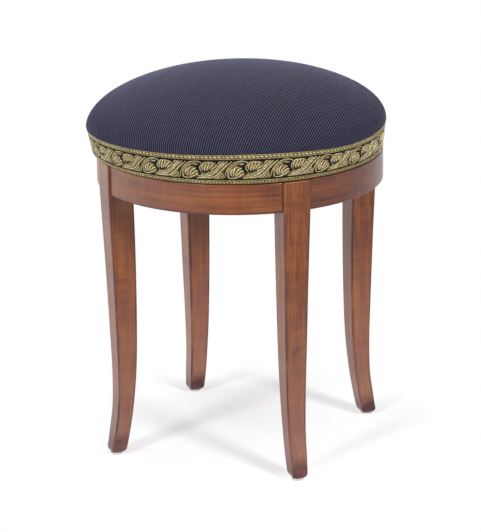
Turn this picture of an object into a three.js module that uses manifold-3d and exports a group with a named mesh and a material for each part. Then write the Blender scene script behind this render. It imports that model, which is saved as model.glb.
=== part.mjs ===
// Revolving piano stool with a padded round seat on a screw.
// Millimetres, +Z up. The origin is on the floor under the centre of the seat.
// The front leg stands on -Y, the left leg on -X.
import * as THREE from 'three';
import { mergeVertices } from 'three/addons/utils/BufferGeometryUtils.js';
import Module from 'manifold-3d';

const wasm = await Module();
wasm.setup();

// Driving dimensions of the frame
const frameHeight = 386; // floor to the top of the rails and legs
const apronRadius = 180.8; // outside of the curved rails
const railHeight = 38;
const railThickness = 22;

// Driving dimensions of the seat
const seatOverhang = 8; // widest line of the cover beyond the rails
const sideTopDrawIn = 3.2; // cover at the top of the trim inside its widest line
const sideFootDrawIn = 6.2; // cover at the foot of the trim inside its widest line
const crownRise = 65.4; // widest line of the cover to the top of its crown
const seatRunningGap = 1.7; // top of the frame to the turned-under cover

// Fits
const seatFit = 0.3; // between pieces that touch
const runFit = 0.5; // between pieces that turn on each other
const overrun = 2; // how far a cutting shape runs past what it cuts

// Sabre legs
const legTopDepth = 33.1; // along the stool's radius
const legTopWidth = 35.3;
const legFootDepth = 19.9;
const legFootWidth = 19.6;
const legProud = 2; // outer face beyond the rails
const legDrawIn = 7.7; // how far the leg's waist lies inside its top
const footKick = 11.2; // how far the foot lies outside the waist
const legEdge = 2.2; // eased corners
const legRingCount = 20; // rings of points from the foot to the apron

// Each row is one height up the leg, from the foot to the underside of the apron.
// kick, draw, depth and width are shares of footKick, legDrawIn and of the growth from foot to top.
const legStationShares = [
  { height: 0, kick: 1, draw: 0, depth: 0, width: 0 },
  { height: 0.08, kick: 0.55, draw: 0, depth: 0.04, width: 0.16 },
  { height: 0.18, kick: 0.11, draw: 0, depth: 0.09, width: 0.25 },
  { height: 0.32, kick: 0, draw: 0, depth: 0.36, width: 0.4 },
  { height: 0.5, kick: 0, draw: 0.2, depth: 0.62, width: 0.58 },
  { height: 0.75, kick: 0, draw: 0.56, depth: 0.85, width: 0.78 },
  { height: 1, kick: 0, draw: 1, depth: 1, width: 1 },
];

// Glides
const glideHeight = 3;
const glideRadius = 8;
const glideFlatRadius = 6.6;
const glideNailRadius = 1.3;
const glideNailLength = 14;

// Rail tenons, in the sides of the legs
const railTenonThickness = 9;
const railTenonHeight = 26;
const railTenonLength = 11;

// Cross rails, halved into each other at the middle
const crossRailWidth = 52;
const crossRailHeight = 20;
const crossTenonWidth = 12;
const crossTenonHeight = 14;
const crossTenonLength = 12;

// Screw thread of the spindle and the nut
const threadRadius = 12.5;
const threadDepth = 2.5;
const threadLead = 6;
const threadCrestWidth = 2;
const threadRootWidth = 3.4;
const threadFlankFit = 0.35;
const liftTurns = 7.5; // turns from the lowest seat to the highest
const threadStepsPerTurn = 16;
const threadCoreSides = 18;
const threadSeedDepth = 1.2; // how far the ridge starts inside the core

// Nut plate
const nutFlangeRadius = 42;
const nutFlangeThickness = 4;
const nutBossRadius = 17;
const nutLength = 21.3; // top of the flange to the bottom of the boss
const nutScrewInset = 11; // rim of the flange to the screws' axes

// Seat plate
const hubRadius = 21;
const hubHeight = 15.1;
const plateArmReach = 80;
const plateArmWidth = 22;
const plateThickness = 5;
const plateScrewInset = 12; // end of an arm to its screw's axis
const spindleHeadRadius = 10;
const hubPinRadius = 2.5;
const hubPinDrop = 9.6; // underside of the board to the pin's axis

// Wood screws
const screwLength = 16;
const screwHeadRadius = 4.4;
const screwHeadHeight = 2.6;
const screwShankRadius = 2.1;
const screwPointLength = 4;
const screwSlotWidth = 1.1;
const screwSlotDepth = 1;

// Low end of the spindle
const endRadius = 8.5;
const washerRadius = 16;
const washerThickness = 2.5;
const stopPinRadius = 1.5;
const stopPinLength = 30;
const endBelowPin = 2.2;

// Seat board, padding, cover and trim
const boardThickness = 15;
const boardEdgePadding = 4.5; // padding rolled over the edge of the board
const coverThickness = 1.2;
const coverHem = 22; // width turned under the board
const coverEdgeRoll = 3;
const crownFlatness = 2.05; // higher is fuller at the shoulder
const crownFullness = 1.9; // higher is fuller towards the crown
const crownSteps = 9;
const trimHeight = 34.6;
const trimThickness = 1.4;
const trimTopBorder = 6;
const trimLowBorder = 5;
const trimBorderProud = 0.8;
const trimDrop = 0.3; // how far the trim hangs below the turned-under cover
const widestRise = 1.2; // top of the trim to the widest line of the cover

// Fineness of the round pieces
const seatSides = 44;
const boreSides = 24;
const screwSides = 10;
const pinSides = 10;
const glideSides = 16;
const railCurveSteps = 12;
const mergeDistance = 1e-4;

// Places that follow from the sizes
const quarterTurn = Math.PI / 2;
const seatRadius = apronRadius + seatOverhang;
const sideTopRadius = seatRadius - sideTopDrawIn;
const sideFootRadius = seatRadius - sideFootDrawIn;
const nutScrewCircle = nutFlangeRadius - nutScrewInset;
const plateScrewCircle = plateArmReach - plateScrewInset;
const railBottom = frameHeight - railHeight;
const railMiddle = frameHeight - railHeight / 2;
const railInnerRadius = apronRadius - railThickness;
const railCentreRadius = apronRadius - railThickness / 2;
const legOuterRadius = apronRadius + legProud;
const legInnerRadius = legOuterRadius - legTopDepth;
const legWaistRadius = legOuterRadius - legDrawIn;
const legBottom = glideHeight + seatFit;
const glideCentreRadius = legWaistRadius + footKick - legFootDepth / 2;
const coverBottom = frameHeight + seatRunningGap;
const boardBottom = coverBottom + coverThickness + seatFit;
const plateTop = boardBottom - seatFit;
const hubBottom = plateTop - hubHeight;
const nutTop = hubBottom - runFit;
const nutBottom = nutTop - nutLength;
const crossTop = nutTop - nutFlangeThickness - seatFit;
const crossBottom = crossTop - crossRailHeight;
const crossMiddle = crossTop - crossRailHeight / 2;
const threadRootRadius = threadRadius - threadDepth;
const threadSeedRadius = threadRootRadius - threadSeedDepth;
const liftHeight = threadLead * liftTurns;
const washerTop = nutBottom - liftHeight - seatFit;
const washerBottom = washerTop - washerThickness;
const stopPinHeight = washerBottom - seatFit - stopPinRadius;
const spindleBottom = stopPinHeight - stopPinRadius - endBelowPin;
const hubPinHeight = boardBottom - hubPinDrop;
const trimBottom = coverBottom - trimDrop;
const trimTop = trimBottom + trimHeight;
const widestHeight = trimTop + widestRise;
const boardRadius = sideFootRadius - coverThickness - seatFit - boardEdgePadding - seatFit;

// Solids

// Closes a geometry into a solid that can be joined and cut.
function toSolid(geometry) {
  const bare = geometry.clone();
  bare.deleteAttribute('normal');
  bare.deleteAttribute('uv');
  const merged = mergeVertices(bare, mergeDistance);
  const corners = merged.index.array;
  const faces = [];
  for (let i = 0; i < corners.length; i += 3) {
    const [a, b, c] = corners.slice(i, i + 3);
    if (a !== b && b !== c && c !== a) faces.push(a, b, c);
  }
  return new wasm.Manifold(new wasm.Mesh({
    numProp: 3,
    vertProperties: new Float32Array(merged.attributes.position.array),
    triVerts: new Uint32Array(faces),
  }));
}

function toGeometry(solid) {
  const mesh = solid.getMesh();
  const geometry = new THREE.BufferGeometry();
  geometry.setAttribute('position', new THREE.BufferAttribute(mesh.vertProperties, 3));
  geometry.setIndex(new THREE.BufferAttribute(mesh.triVerts, 1));
  geometry.computeVertexNormals();
  return geometry;
}

// A block from the height low to the height high, its middle at x, y.
function block(width, depth, low, high, x = 0, y = 0) {
  const geometry = new THREE.BoxGeometry(width, depth, high - low);
  return toSolid(geometry.translate(x, y, (low + high) / 2));
}

// An upright cylinder from the height low to the height high.
function post(radius, low, high, sides, x = 0, y = 0) {
  const geometry = new THREE.CylinderGeometry(radius, radius, high - low, sides);
  return toSolid(geometry.rotateX(quarterTurn).translate(x, y, (low + high) / 2));
}

// A pin lying along X through the stool's axis.
function crossPin(radius, length, height) {
  const geometry = new THREE.CylinderGeometry(radius, radius, length, pinSides);
  return toSolid(geometry.rotateZ(quarterTurn).translate(0, 0, height));
}

// A turned piece: [radius, height] points up its outside, from the axis to the axis.
function turned(profile, sides) {
  const points = profile.map(([radius, height]) => new THREE.Vector2(radius, height));
  return toSolid(new THREE.LatheGeometry(points, sides).rotateX(quarterTurn));
}

// A ridge that winds up round the axis: a straight bar of many lengths, wound into a helix.
// The spindle and the nut share one helix, which starts from the nut's underside.
function threadRidge(crestRadius, flankFit, low, high) {
  const steps = Math.ceil(((high - low) / threadLead) * threadStepsPerTurn);
  const bar = new THREE.BoxGeometry(1, 1, 1, steps, 1, 1);
  const place = bar.attributes.position;
  for (let i = 0; i < place.count; i += 1) {
    const middle = THREE.MathUtils.lerp(low, high, place.getX(i) + 1 / 2);
    const outward = place.getZ(i) + 1 / 2;
    const angle = ((middle - nutBottom) / threadLead) * 2 * Math.PI;
    const radius = THREE.MathUtils.lerp(threadSeedRadius, crestRadius, outward);
    const width = THREE.MathUtils.lerp(threadRootWidth, threadCrestWidth, outward) + 2 * flankFit;
    const height = middle + place.getY(i) * width;
    place.setXYZ(i, radius * Math.cos(angle), radius * Math.sin(angle), height);
  }
  return toSolid(bar);
}

// A countersunk wood screw, its head's face at height 0 and its point down.
function woodScrew() {
  const blank = turned([
    [0, -screwLength],
    [screwShankRadius, screwPointLength - screwLength],
    [screwShankRadius, -screwHeadHeight],
    [screwHeadRadius, 0],
    [0, 0],
  ], screwSides);
  return blank.subtract(block(2 * screwHeadRadius + overrun, screwSlotWidth, -screwSlotDepth, overrun));
}

// The hole that such a screw stands in, open above its head.
function screwHole() {
  const shank = screwShankRadius + seatFit;
  const head = screwHeadRadius + seatFit;
  return turned([
    [0, -screwLength - seatFit],
    [shank, -screwLength - seatFit],
    [shank, -screwHeadHeight - seatFit],
    [head, -seatFit],
    [head, overrun],
    [0, overrun],
  ], screwSides);
}

// The four places on a circle, the first at the angle start.
function circlePlaces(radius, start) {
  return [0, 1, 2, 3].map((quarter) => {
    const angle = start + quarter * quarterTurn;
    return [radius * Math.cos(angle), radius * Math.sin(angle)];
  });
}

const nutScrewPlaces = circlePlaces(nutScrewCircle, 0);
const plateScrewPlaces = circlePlaces(plateScrewCircle, quarterTurn / 2);

// The frame's pieces, each built where the leg or the rail beside +X stands

// The tenon of a rail on the +Y side of the +X leg. With a fit it is its mortise.
function railTenonPlace(fit) {
  const start = legTopWidth / 2 - railTenonLength - fit;
  const end = legTopWidth / 2 + overrun;
  return {
    thickness: railTenonThickness + 2 * fit,
    length: end - start,
    low: railMiddle - railTenonHeight / 2 - fit,
    high: railMiddle + railTenonHeight / 2 + fit,
    across: (start + end) / 2,
  };
}

function legOutline() {
  const x = legTopDepth / 2;
  const y = legTopWidth / 2;
  const outline = new THREE.Shape();
  outline.moveTo(x, y - legEdge);
  outline.quadraticCurveTo(x, y, x - legEdge, y);
  outline.lineTo(-x + legEdge, y);
  outline.quadraticCurveTo(-x, y, -x, y - legEdge);
  outline.lineTo(-x, -y + legEdge);
  outline.quadraticCurveTo(-x, -y, -x + legEdge, -y);
  outline.lineTo(x - legEdge, -y);
  outline.quadraticCurveTo(x, -y, x, -y + legEdge);
  outline.closePath();
  return outline;
}

// The leg's middle, depth and width at each height, as smooth curves through its stations.
function legRings() {
  const stations = legStationShares.map((share) => ({
    outer: legWaistRadius + footKick * share.kick + legDrawIn * share.draw,
    depth: THREE.MathUtils.lerp(legFootDepth, legTopDepth, share.depth),
    width: THREE.MathUtils.lerp(legFootWidth, legTopWidth, share.width),
    height: THREE.MathUtils.lerp(legBottom, railBottom, share.height),
  }));
  const smooth = (points) => new THREE.CatmullRomCurve3(points, false, 'catmullrom');
  const side = smooth(stations.map((s) => new THREE.Vector3(s.outer, s.depth, s.height)));
  const front = smooth(stations.map((s) => new THREE.Vector3(s.outer, s.width, s.height)));
  const rings = [];
  for (let ring = 0; ring < legRingCount; ring += 1) {
    const { x: outer, y: depth, z: height } = side.getPoint(ring / (legRingCount - 1));
    const width = front.getPoint(ring / (legRingCount - 1)).y;
    rings.push({ middle: outer - depth / 2, depth, width, height });
  }
  return [...rings, { ...rings.at(-1), height: frameHeight }];
}

function leg() {
  const rings = legRings();
  const geometry = new THREE.ExtrudeGeometry(legOutline(), {
    depth: rings.length - 1,
    steps: rings.length - 1,
    curveSegments: 2,
    bevelEnabled: false,
  });
  const place = geometry.attributes.position;
  for (let i = 0; i < place.count; i += 1) {
    const ring = rings[Math.round(place.getZ(i))];
    const x = ring.middle + (place.getX(i) * ring.depth) / legTopDepth;
    const y = (place.getY(i) * ring.width) / legTopWidth;
    place.setXYZ(i, x, y, ring.height);
  }
  const { thickness, length, low, high, across } = railTenonPlace(seatFit);
  const nailTop = glideHeight + glideNailLength + seatFit;
  const nailHole = post(
    glideNailRadius + seatFit, legBottom - overrun, nailTop, pinSides, glideCentreRadius);
  return toSolid(geometry)
    .subtract(block(thickness, length, low, high, railCentreRadius, across))
    .subtract(block(thickness, length, low, high, railCentreRadius, -across))
    .subtract(crossTenons(seatFit))
    .subtract(nailHole);
}

// The curved rail between the +X leg and the +Y leg, with a tenon at each end.
function apronRail() {
  const shoulder = legTopWidth / 2 + seatFit;
  const outerStart = Math.asin(shoulder / apronRadius);
  const innerStart = Math.asin(shoulder / railInnerRadius);
  const outline = new THREE.Shape();
  outline.absarc(0, 0, apronRadius, outerStart, quarterTurn - outerStart, false);
  outline.absarc(0, 0, railInnerRadius, quarterTurn - innerStart, innerStart, true);
  outline.closePath();
  const geometry = new THREE.ExtrudeGeometry(outline, {
    depth: railHeight,
    curveSegments: railCurveSteps,
    bevelEnabled: false,
  });
  const { thickness, length, low, high, across } = railTenonPlace(0);
  return toSolid(geometry.translate(0, 0, railBottom))
    .add(block(thickness, length, low, high, railCentreRadius, across))
    .add(block(length, thickness, low, high, across, railCentreRadius));
}

// The tenons at both ends of a cross rail, as one bar. With a fit it cuts their mortises.
function crossTenons(fit) {
  const reach = legInnerRadius + crossTenonLength + fit;
  const low = crossMiddle - crossTenonHeight / 2 - fit;
  const high = crossMiddle + crossTenonHeight / 2 + fit;
  return block(2 * reach, crossTenonWidth + 2 * fit, low, high);
}

// A rail across the apron along X, halved at the middle from above or from below.
function crossRail(halvedFromAbove) {
  const length = 2 * (legInnerRadius - seatFit);
  const lapLow = halvedFromAbove ? crossMiddle - seatFit / 2 : crossBottom - overrun;
  const lapHigh = halvedFromAbove ? crossTop + overrun : crossMiddle + seatFit / 2;
  let rail = block(length, crossRailWidth, crossBottom, crossTop)
    .add(crossTenons(0))
    .subtract(block(crossRailWidth + 2 * seatFit, crossRailWidth + overrun, lapLow, lapHigh))
    .subtract(post(nutBossRadius + seatFit, crossBottom - overrun, crossTop + overrun, boreSides));
  const hole = toGeometry(screwHole()).translate(0, 0, nutTop);
  nutScrewPlaces.forEach(([x, y]) => {
    rail = rail.subtract(toSolid(hole.clone().translate(x, y, 0)));
  });
  return rail;
}

// A domed glide with a flat face on the floor and its nail.
function glide() {
  const nailTop = glideHeight + glideNailLength;
  const body = turned([
    [0, 0],
    [glideFlatRadius, 0],
    [glideRadius, glideHeight / 2],
    [glideRadius, glideHeight],
    [glideNailRadius, glideHeight],
    [glideNailRadius, nailTop - 2 * glideNailRadius],
    [0, nailTop],
  ], glideSides);
  return toSolid(toGeometry(body).translate(glideCentreRadius, 0, 0));
}

// The screw mechanism

function nutPlate() {
  const flangeLow = nutTop - nutFlangeThickness;
  let plate = turned([
    [0, nutBottom],
    [nutBossRadius, nutBottom],
    [nutBossRadius, flangeLow],
    [nutFlangeRadius, flangeLow],
    [nutFlangeRadius, nutTop - seatFit],
    [nutFlangeRadius - seatFit, nutTop],
    [0, nutTop],
  ], boreSides)
    .subtract(post(threadRootRadius + runFit, nutBottom - overrun, nutTop + overrun, threadCoreSides))
    .subtract(threadRidge(threadRadius + runFit, threadFlankFit, nutBottom - threadLead, nutTop + threadLead));
  const hole = toGeometry(screwHole()).translate(0, 0, nutTop);
  nutScrewPlaces.forEach(([x, y]) => {
    plate = plate.subtract(toSolid(hole.clone().translate(x, y, 0)));
  });
  return plate;
}

function spindle() {
  const shoulder = washerTop + seatFit;
  const threadTop = hubBottom - seatFit;
  const top = plateTop - seatFit;
  return turned([
    [0, spindleBottom],
    [endRadius - stopPinRadius / 2, spindleBottom],
    [endRadius, spindleBottom + stopPinRadius / 2],
    [endRadius, shoulder],
    [threadRootRadius, shoulder],
    [threadRootRadius, threadTop],
    [spindleHeadRadius, threadTop],
    [spindleHeadRadius, top],
    [0, top],
  ], threadCoreSides)
    .add(threadRidge(threadRadius, 0, shoulder + threadRootWidth / 2, threadTop - threadRootWidth / 2))
    .subtract(crossPin(hubPinRadius + seatFit, 2 * hubRadius, hubPinHeight))
    .subtract(crossPin(stopPinRadius + seatFit, stopPinLength, stopPinHeight));
}

// The plate under the board: four arms from a hub.
function seatPlate() {
  const armLow = plateTop - plateThickness;
  const armEnd = plateArmReach - plateArmWidth / 2;
  const bar = block(2 * armEnd, plateArmWidth, armLow, plateTop)
    .add(post(plateArmWidth / 2, armLow, plateTop, boreSides, armEnd))
    .add(post(plateArmWidth / 2, armLow, plateTop, boreSides, -armEnd));
  const turnedBar = (turn) => toSolid(toGeometry(bar).rotateZ(turn));
  let plate = post(hubRadius, hubBottom, plateTop, boreSides)
    .add(turnedBar(quarterTurn / 2))
    .add(turnedBar(-quarterTurn / 2))
    .subtract(post(spindleHeadRadius + seatFit, hubBottom - overrun, plateTop + overrun, boreSides))
    .subtract(crossPin(hubPinRadius + seatFit, 2 * hubRadius + overrun, hubPinHeight));
  plateScrewPlaces.forEach(([x, y]) => {
    plate = plate.subtract(plateScrewHole(x, y));
  });
  return plate;
}

function plateScrewHole(x, y) {
  return toSolid(toGeometry(screwHole()).rotateX(Math.PI).translate(x, y, plateTop - plateThickness));
}

function stopWasher() {
  return post(washerRadius, washerBottom, washerTop, boreSides)
    .subtract(post(endRadius + seatFit, washerBottom - overrun, washerTop + overrun, boreSides));
}

// The seat

function seatBoard() {
  const top = boardBottom + boardThickness;
  let board = post(boardRadius, boardBottom, top, seatSides);
  plateScrewPlaces.forEach(([x, y]) => {
    board = board.subtract(plateScrewHole(x, y));
  });
  return board;
}

// The radius of the cover's side, which spreads from the foot of the trim to its top.
function sideRadius(height) {
  return THREE.MathUtils.mapLinear(height, trimBottom, trimTop, sideFootRadius, sideTopRadius);
}

// The cover's outside, drawn in by inset: a rounded lower edge, a spreading side and the crown.
function cushion(inset) {
  const bottom = coverBottom + inset;
  const roll = coverEdgeRoll - inset;
  const shoulder = trimTop + seatFit;
  const profile = [
    [0, bottom],
    [sideRadius(bottom) - inset - roll, bottom],
    [sideRadius(bottom + roll) - inset, bottom + roll],
    [sideRadius(shoulder) - inset, shoulder],
  ];
  for (let step = 0; step <= crownSteps; step += 1) {
    const angle = (step / crownSteps) * quarterTurn;
    const outward = Math.max(0, Math.cos(angle)) ** (2 / crownFlatness);
    const upward = Math.sin(angle) ** (2 / crownFullness);
    profile.push([(seatRadius - inset) * outward, widestHeight + (crownRise - inset) * upward]);
  }
  profile.at(-1)[0] = 0;
  return turned(profile, seatSides);
}

function seatCover() {
  return cushion(0)
    .subtract(cushion(coverThickness))
    .subtract(post(sideFootRadius - coverHem, coverBottom - overrun, boardBottom, seatSides));
}

// The padding lies on the board and is rolled over its edge.
function seatPadding() {
  return cushion(coverThickness + seatFit).subtract(
    post(boardRadius + seatFit, coverBottom, boardBottom + boardThickness + seatFit, seatSides));
}

// The band round the side of the seat, with a raised border along each edge.
function seatTrim() {
  const point = (outward, height) => [sideRadius(height) + seatFit + outward, height];
  const border = trimThickness + trimBorderProud;
  const profile = [
    point(0, trimBottom),
    point(trimThickness, trimBottom),
    point(border, trimBottom + trimBorderProud),
    point(border, trimBottom + trimLowBorder - trimBorderProud),
    point(trimThickness, trimBottom + trimLowBorder),
    point(trimThickness, trimTop - trimTopBorder),
    point(border, trimTop - trimTopBorder + trimBorderProud),
    point(border, trimTop - trimBorderProud),
    point(trimThickness, trimTop),
    point(0, trimTop),
  ];
  return turned([...profile, profile[0]], seatSides);
}

// Finishes

function finish(color, roughness, metalness) {
  return () => new THREE.MeshStandardMaterial({ color, roughness, metalness });
}

const polishedWood = finish(0x8f4f2a, 0.35, 0);
const plainWood = finish(0xb08a5c, 0.7, 0);
const castIron = finish(0x2c2b2a, 0.6, 0.8);
const steel = finish(0x9a9b9c, 0.35, 1);
const paleGlide = finish(0xe4e0d6, 0.5, 0);
const ribbedCloth = finish(0x2a2b40, 0.9, 0);
const goldTrim = finish(0xb0924e, 0.6, 0.2);
const stuffing = finish(0xd9cfb8, 1, 0);

// The stool

const stool = new THREE.Group();

function addPiece(name, solid, material) {
  const mesh = new THREE.Mesh(toGeometry(solid), material());
  mesh.name = name;
  stool.add(mesh);
  return mesh;
}

const legNames = ['right', 'back', 'left', 'front'];
const oneLeg = leg();
const oneRail = apronRail();
const oneGlide = glide();
legNames.forEach((side, quarter) => {
  addPiece(`leg_${side}`, oneLeg, polishedWood).rotation.z = quarter * quarterTurn;
  addPiece(`apron_rail_${quarter + 1}`, oneRail, polishedWood).rotation.z = quarter * quarterTurn;
  addPiece(`glide_${side}`, oneGlide, paleGlide).rotation.z = quarter * quarterTurn;
});
addPiece('cross_rail_x', crossRail(true), plainWood);
addPiece('cross_rail_y', crossRail(false), plainWood).rotation.z = quarterTurn;

addPiece('nut_plate', nutPlate(), castIron);
const oneScrew = woodScrew();
nutScrewPlaces.forEach(([x, y], i) => {
  addPiece(`nut_screw_${i + 1}`, oneScrew, steel).position.set(x, y, nutTop);
});
addPiece('spindle', spindle(), steel);
addPiece('stop_washer', stopWasher(), steel);
addPiece('stop_pin', crossPin(stopPinRadius, stopPinLength, stopPinHeight), steel);
addPiece('seat_plate', seatPlate(), castIron);
addPiece('hub_pin', crossPin(hubPinRadius, 2 * hubRadius, hubPinHeight), steel);
plateScrewPlaces.forEach(([x, y], i) => {
  const screw = addPiece(`plate_screw_${i + 1}`, oneScrew, steel);
  screw.position.set(x, y, plateTop - plateThickness);
  screw.rotation.x = Math.PI;
});

addPiece('seat_board', seatBoard(), plainWood);
addPiece('seat_padding', seatPadding(), stuffing);
addPiece('seat_cover', seatCover(), ribbedCloth);
addPiece('seat_trim', seatTrim(), goldTrim);

export default stool;
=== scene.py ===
import functools
import math

import bmesh
import bpy
import numpy as np
from bpy.props import FloatProperty, FloatVectorProperty, IntProperty, PointerProperty
from mathutils import Matrix, Vector
from mathutils.geometry import delaunay_2d_cdt


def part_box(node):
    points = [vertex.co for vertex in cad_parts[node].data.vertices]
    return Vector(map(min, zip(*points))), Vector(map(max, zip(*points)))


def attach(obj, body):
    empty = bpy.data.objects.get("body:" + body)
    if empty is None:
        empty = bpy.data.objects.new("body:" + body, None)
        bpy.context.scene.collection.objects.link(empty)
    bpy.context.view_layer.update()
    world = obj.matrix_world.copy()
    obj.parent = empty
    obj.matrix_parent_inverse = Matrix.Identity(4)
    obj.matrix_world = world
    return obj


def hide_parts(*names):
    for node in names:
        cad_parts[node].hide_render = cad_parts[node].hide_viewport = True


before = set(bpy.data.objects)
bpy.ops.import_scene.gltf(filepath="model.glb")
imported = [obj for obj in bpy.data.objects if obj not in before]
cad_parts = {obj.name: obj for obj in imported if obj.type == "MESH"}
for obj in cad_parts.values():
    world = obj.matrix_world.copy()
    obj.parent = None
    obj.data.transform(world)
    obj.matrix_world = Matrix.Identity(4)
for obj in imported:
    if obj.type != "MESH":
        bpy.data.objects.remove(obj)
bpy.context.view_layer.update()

bl_info = {
    "name": "Revolving stool",
    "version": (1, 0, 0),
    "blender": (4, 5, 0),
    "location": "View3D > Sidebar > Stool",
    "description": "Builds the looks of a revolving round stool round its packed frame",
    "category": "Add Mesh",
}

MM = 0.001
TURN = 2 * math.pi
QUARTER = math.pi / 2
DIAGONAL = QUARTER / 2
SIDES = ["right", "back", "left", "front"]

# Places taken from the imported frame, in metres
FRAME_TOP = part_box("leg_front")[1].z
RAIL_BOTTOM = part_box("apron_rail_1")[0].z
LEG_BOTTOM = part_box("leg_front")[0].z
TRIM_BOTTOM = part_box("seat_trim")[0].z
TRIM_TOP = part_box("seat_trim")[1].z
COVER_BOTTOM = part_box("seat_cover")[0].z
CROWN_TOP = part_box("seat_cover")[1].z
BOARD_LOW, BOARD_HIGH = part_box("seat_board")
BOARD_RADIUS = BOARD_HIGH.x
NUT_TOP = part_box("nut_plate")[1].z
PLATE_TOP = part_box("seat_plate")[1].z
ARM_THICKNESS = 5 * MM

# The legs and the rails, as in the frame's own pieces
APRON_RADIUS = 180.8 * MM
RAIL_THICKNESS = 22 * MM
LEG_TOP = (33.1 * MM, 35.3 * MM)
LEG_FOOT = (19.9 * MM, 19.6 * MM)
LEG_WAIST = 175.1 * MM
LEG_KICK = 11.2 * MM
LEG_DRAW = 7.7 * MM
# height, kick, draw, depth and width, from the foot to the underside of the apron
LEG_STATIONS = [
    (0, 1, 0, 0, 0),
    (0.08, 0.55, 0, 0.04, 0.16),
    (0.18, 0.11, 0, 0.09, 0.25),
    (0.32, 0, 0, 0.36, 0.4),
    (0.5, 0, 0.2, 0.62, 0.58),
    (0.75, 0, 0.56, 0.85, 0.78),
    (1, 0, 1, 1, 1),
]
# the legs' rounded feet and eased tops
FOOT_ROUND = 6.5 * MM
TOP_EASE = 0.7 * MM
# how strongly the stain darkens the feet; how strongly a painted shade under the seat darkens the
# high part of the right, back, left and front leg; and how strongly the stain darkens each rail in
# turn, and the rails' ends at their joints
FOOT_STAIN = 0.92
LEG_TOP_SHADE = (0.0, 0.62, 0.32, 0.0)
RAIL_STAIN = (0.35, 0.2, 0.2, 0.7)
JOINT_STAIN = 0.6
# clearance between pieces that lie against each other
FIT = 0.3 * MM
# from a rounded edge to the first point on the flat beside it
EDGE_SUPPORT = 0.6 * MM

# How high the worn seat's edge lies, in millimetres, every 15 degrees from the front to the right
FRONT_BEARING = math.radians(-112)
EDGE_HEIGHTS = [
    3.2, 2.0, 0.2, -1.8, -3.0, -0.6, -0.6, -1.9, -3.0, -3.2, -3.4, -3.5,
    -3.6, -3.7, -3.9, -4.1, -4.3, -4.6, -4.7, -3.9, -2.6, -0.9, 0.5, 1.8,
]
# how many of their lowest waves round the seat are kept
EDGE_WAVES = 7

# The knot low on the outside of the front leg
KNOT_PLACE = (-0.5 * MM, -175.1 * MM, 168 * MM)
KNOT_SIZE = (10 * MM, 6 * MM, 2.2 * MM)
KNOT_SLANT = math.radians(40)

# Layers of noise in the grain of the wood, which runs along the third coordinate. Each has its
# stretch, scale, detail, roughness, warp and share in the tone: figure, fine lines, clouds, bands
GRAIN_LAYERS = [
    ((1, 1, 0.05), 95, 3, 0.5, 0.3, 0.22),
    ((1, 1, 0.012), 640, 4, 0.6, 0.0, 0.44),
    ((1, 1, 0.6), 24, 4, 0.55, 0.3, 0.32),
    ((0.2, 0.2, 1), 130, 3, 0.6, 0.0, 0.16),
]
TONE_SPREAD = (0.46, 0.68)
PORE_STRETCH = (1, 1, 0.03)

# A painted reflection of the pale floor on the low parts of the legs, strongest at its low height
FLOOR_SHEEN_LOW, FLOOR_SHEEN_HIGH = 30 * MM, 270 * MM
FLOOR_SHEEN_COLOUR = (0.35, 0.190, 0.160)

# Where the floor's shadows fade to plain white, as shares of their reach: all round, on the left
# and on the right of the stool
FADE_AROUND = (0.58, 1.0)
FADE_LEFT = (0.53, 0.7)
FADE_RIGHT = (0.6, 0.82)
# Metres to the left and to the back over which the floor's glare grows and falls, and its least
# share
GLARE_LEFT = (0.45, 1.3)
GLARE_BACK = (-0.2, 0.7)
GLARE_LEAST = 0.35

# Heights between which the cloth's colour changes from the painted shade round its low edge to
# that of its top
CLOTH_SHADE_LOW, CLOTH_SHADE_HIGH = 427 * MM, 462 * MM
# From thread to thread along the cloth's ribs and along the gold thread
WEFT_PITCH = 1.6 * MM
STRAND_PITCH = 2.1 * MM

# The side of the seat, from the foot of the trim to its top
SIDE_FOOT = 180.8 * MM
SIDE_TOP = 185.6 * MM
TRIM_HEIGHT = 34.6 * MM
TRIM_THICKNESS = 1.4 * MM
# How many points the cover's profile has over the crown
CROWN_STEPS = 60
# The rolled edge of the cover and its hem under the board
HEM_ROLL = 3 * MM
HEM_WIDTH = 22 * MM
CLOTH_THICKNESS = 1.1 * MM
# How far inside the cover the stuffing ends
STUFFING_INSET = 1.4 * MM


# Settings


def colour_setting(name, description, default):
    return FloatVectorProperty(
        name=name, description=description, default=default,
        subtype="COLOR", size=3, min=0, max=1)


def length_setting(name, description, default, **limits):
    return FloatProperty(
        name=name, description=description, default=default, unit="LENGTH", **limits)


def angle_setting(name, description, degrees):
    return FloatProperty(
        name=name, description=description, default=math.radians(degrees), subtype="ANGLE")


def place_setting(name, description, *default):
    return FloatVectorProperty(
        name=name, description=description, default=default,
        subtype="TRANSLATION", unit="LENGTH", size=len(default))


def plain_setting(name, description, default, **limits):
    return FloatProperty(name=name, description=description, default=default, **limits)


class StoolWoodSettings(bpy.types.PropertyGroup):
    """The polished legs and rails."""

    deep: colour_setting(
        "Deep colour", "Colour of the dark grain of the polished wood", (0.105, 0.021, 0.003))
    body: colour_setting(
        "Body colour", "Main colour of the polished wood", (0.232, 0.056, 0.0075))
    light: colour_setting(
        "Light colour", "Colour of the light grain of the polished wood", (0.340, 0.104, 0.017))
    # the glaze colour is also that of the painted shade high on the back and left legs
    glaze: colour_setting(
        "Glaze colour", "Colour of the dark glaze along edges, joints and feet",
        (0.066, 0.013, 0.018))
    edge: length_setting(
        "Eased corner", "Rounding of the legs' corners", 2.2 * MM, min=0, max=0.01)
    rail_edge: length_setting(
        "Eased rail edge", "Rounding of the rails' edges", 1.3 * MM, min=0, max=0.01)


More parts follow.
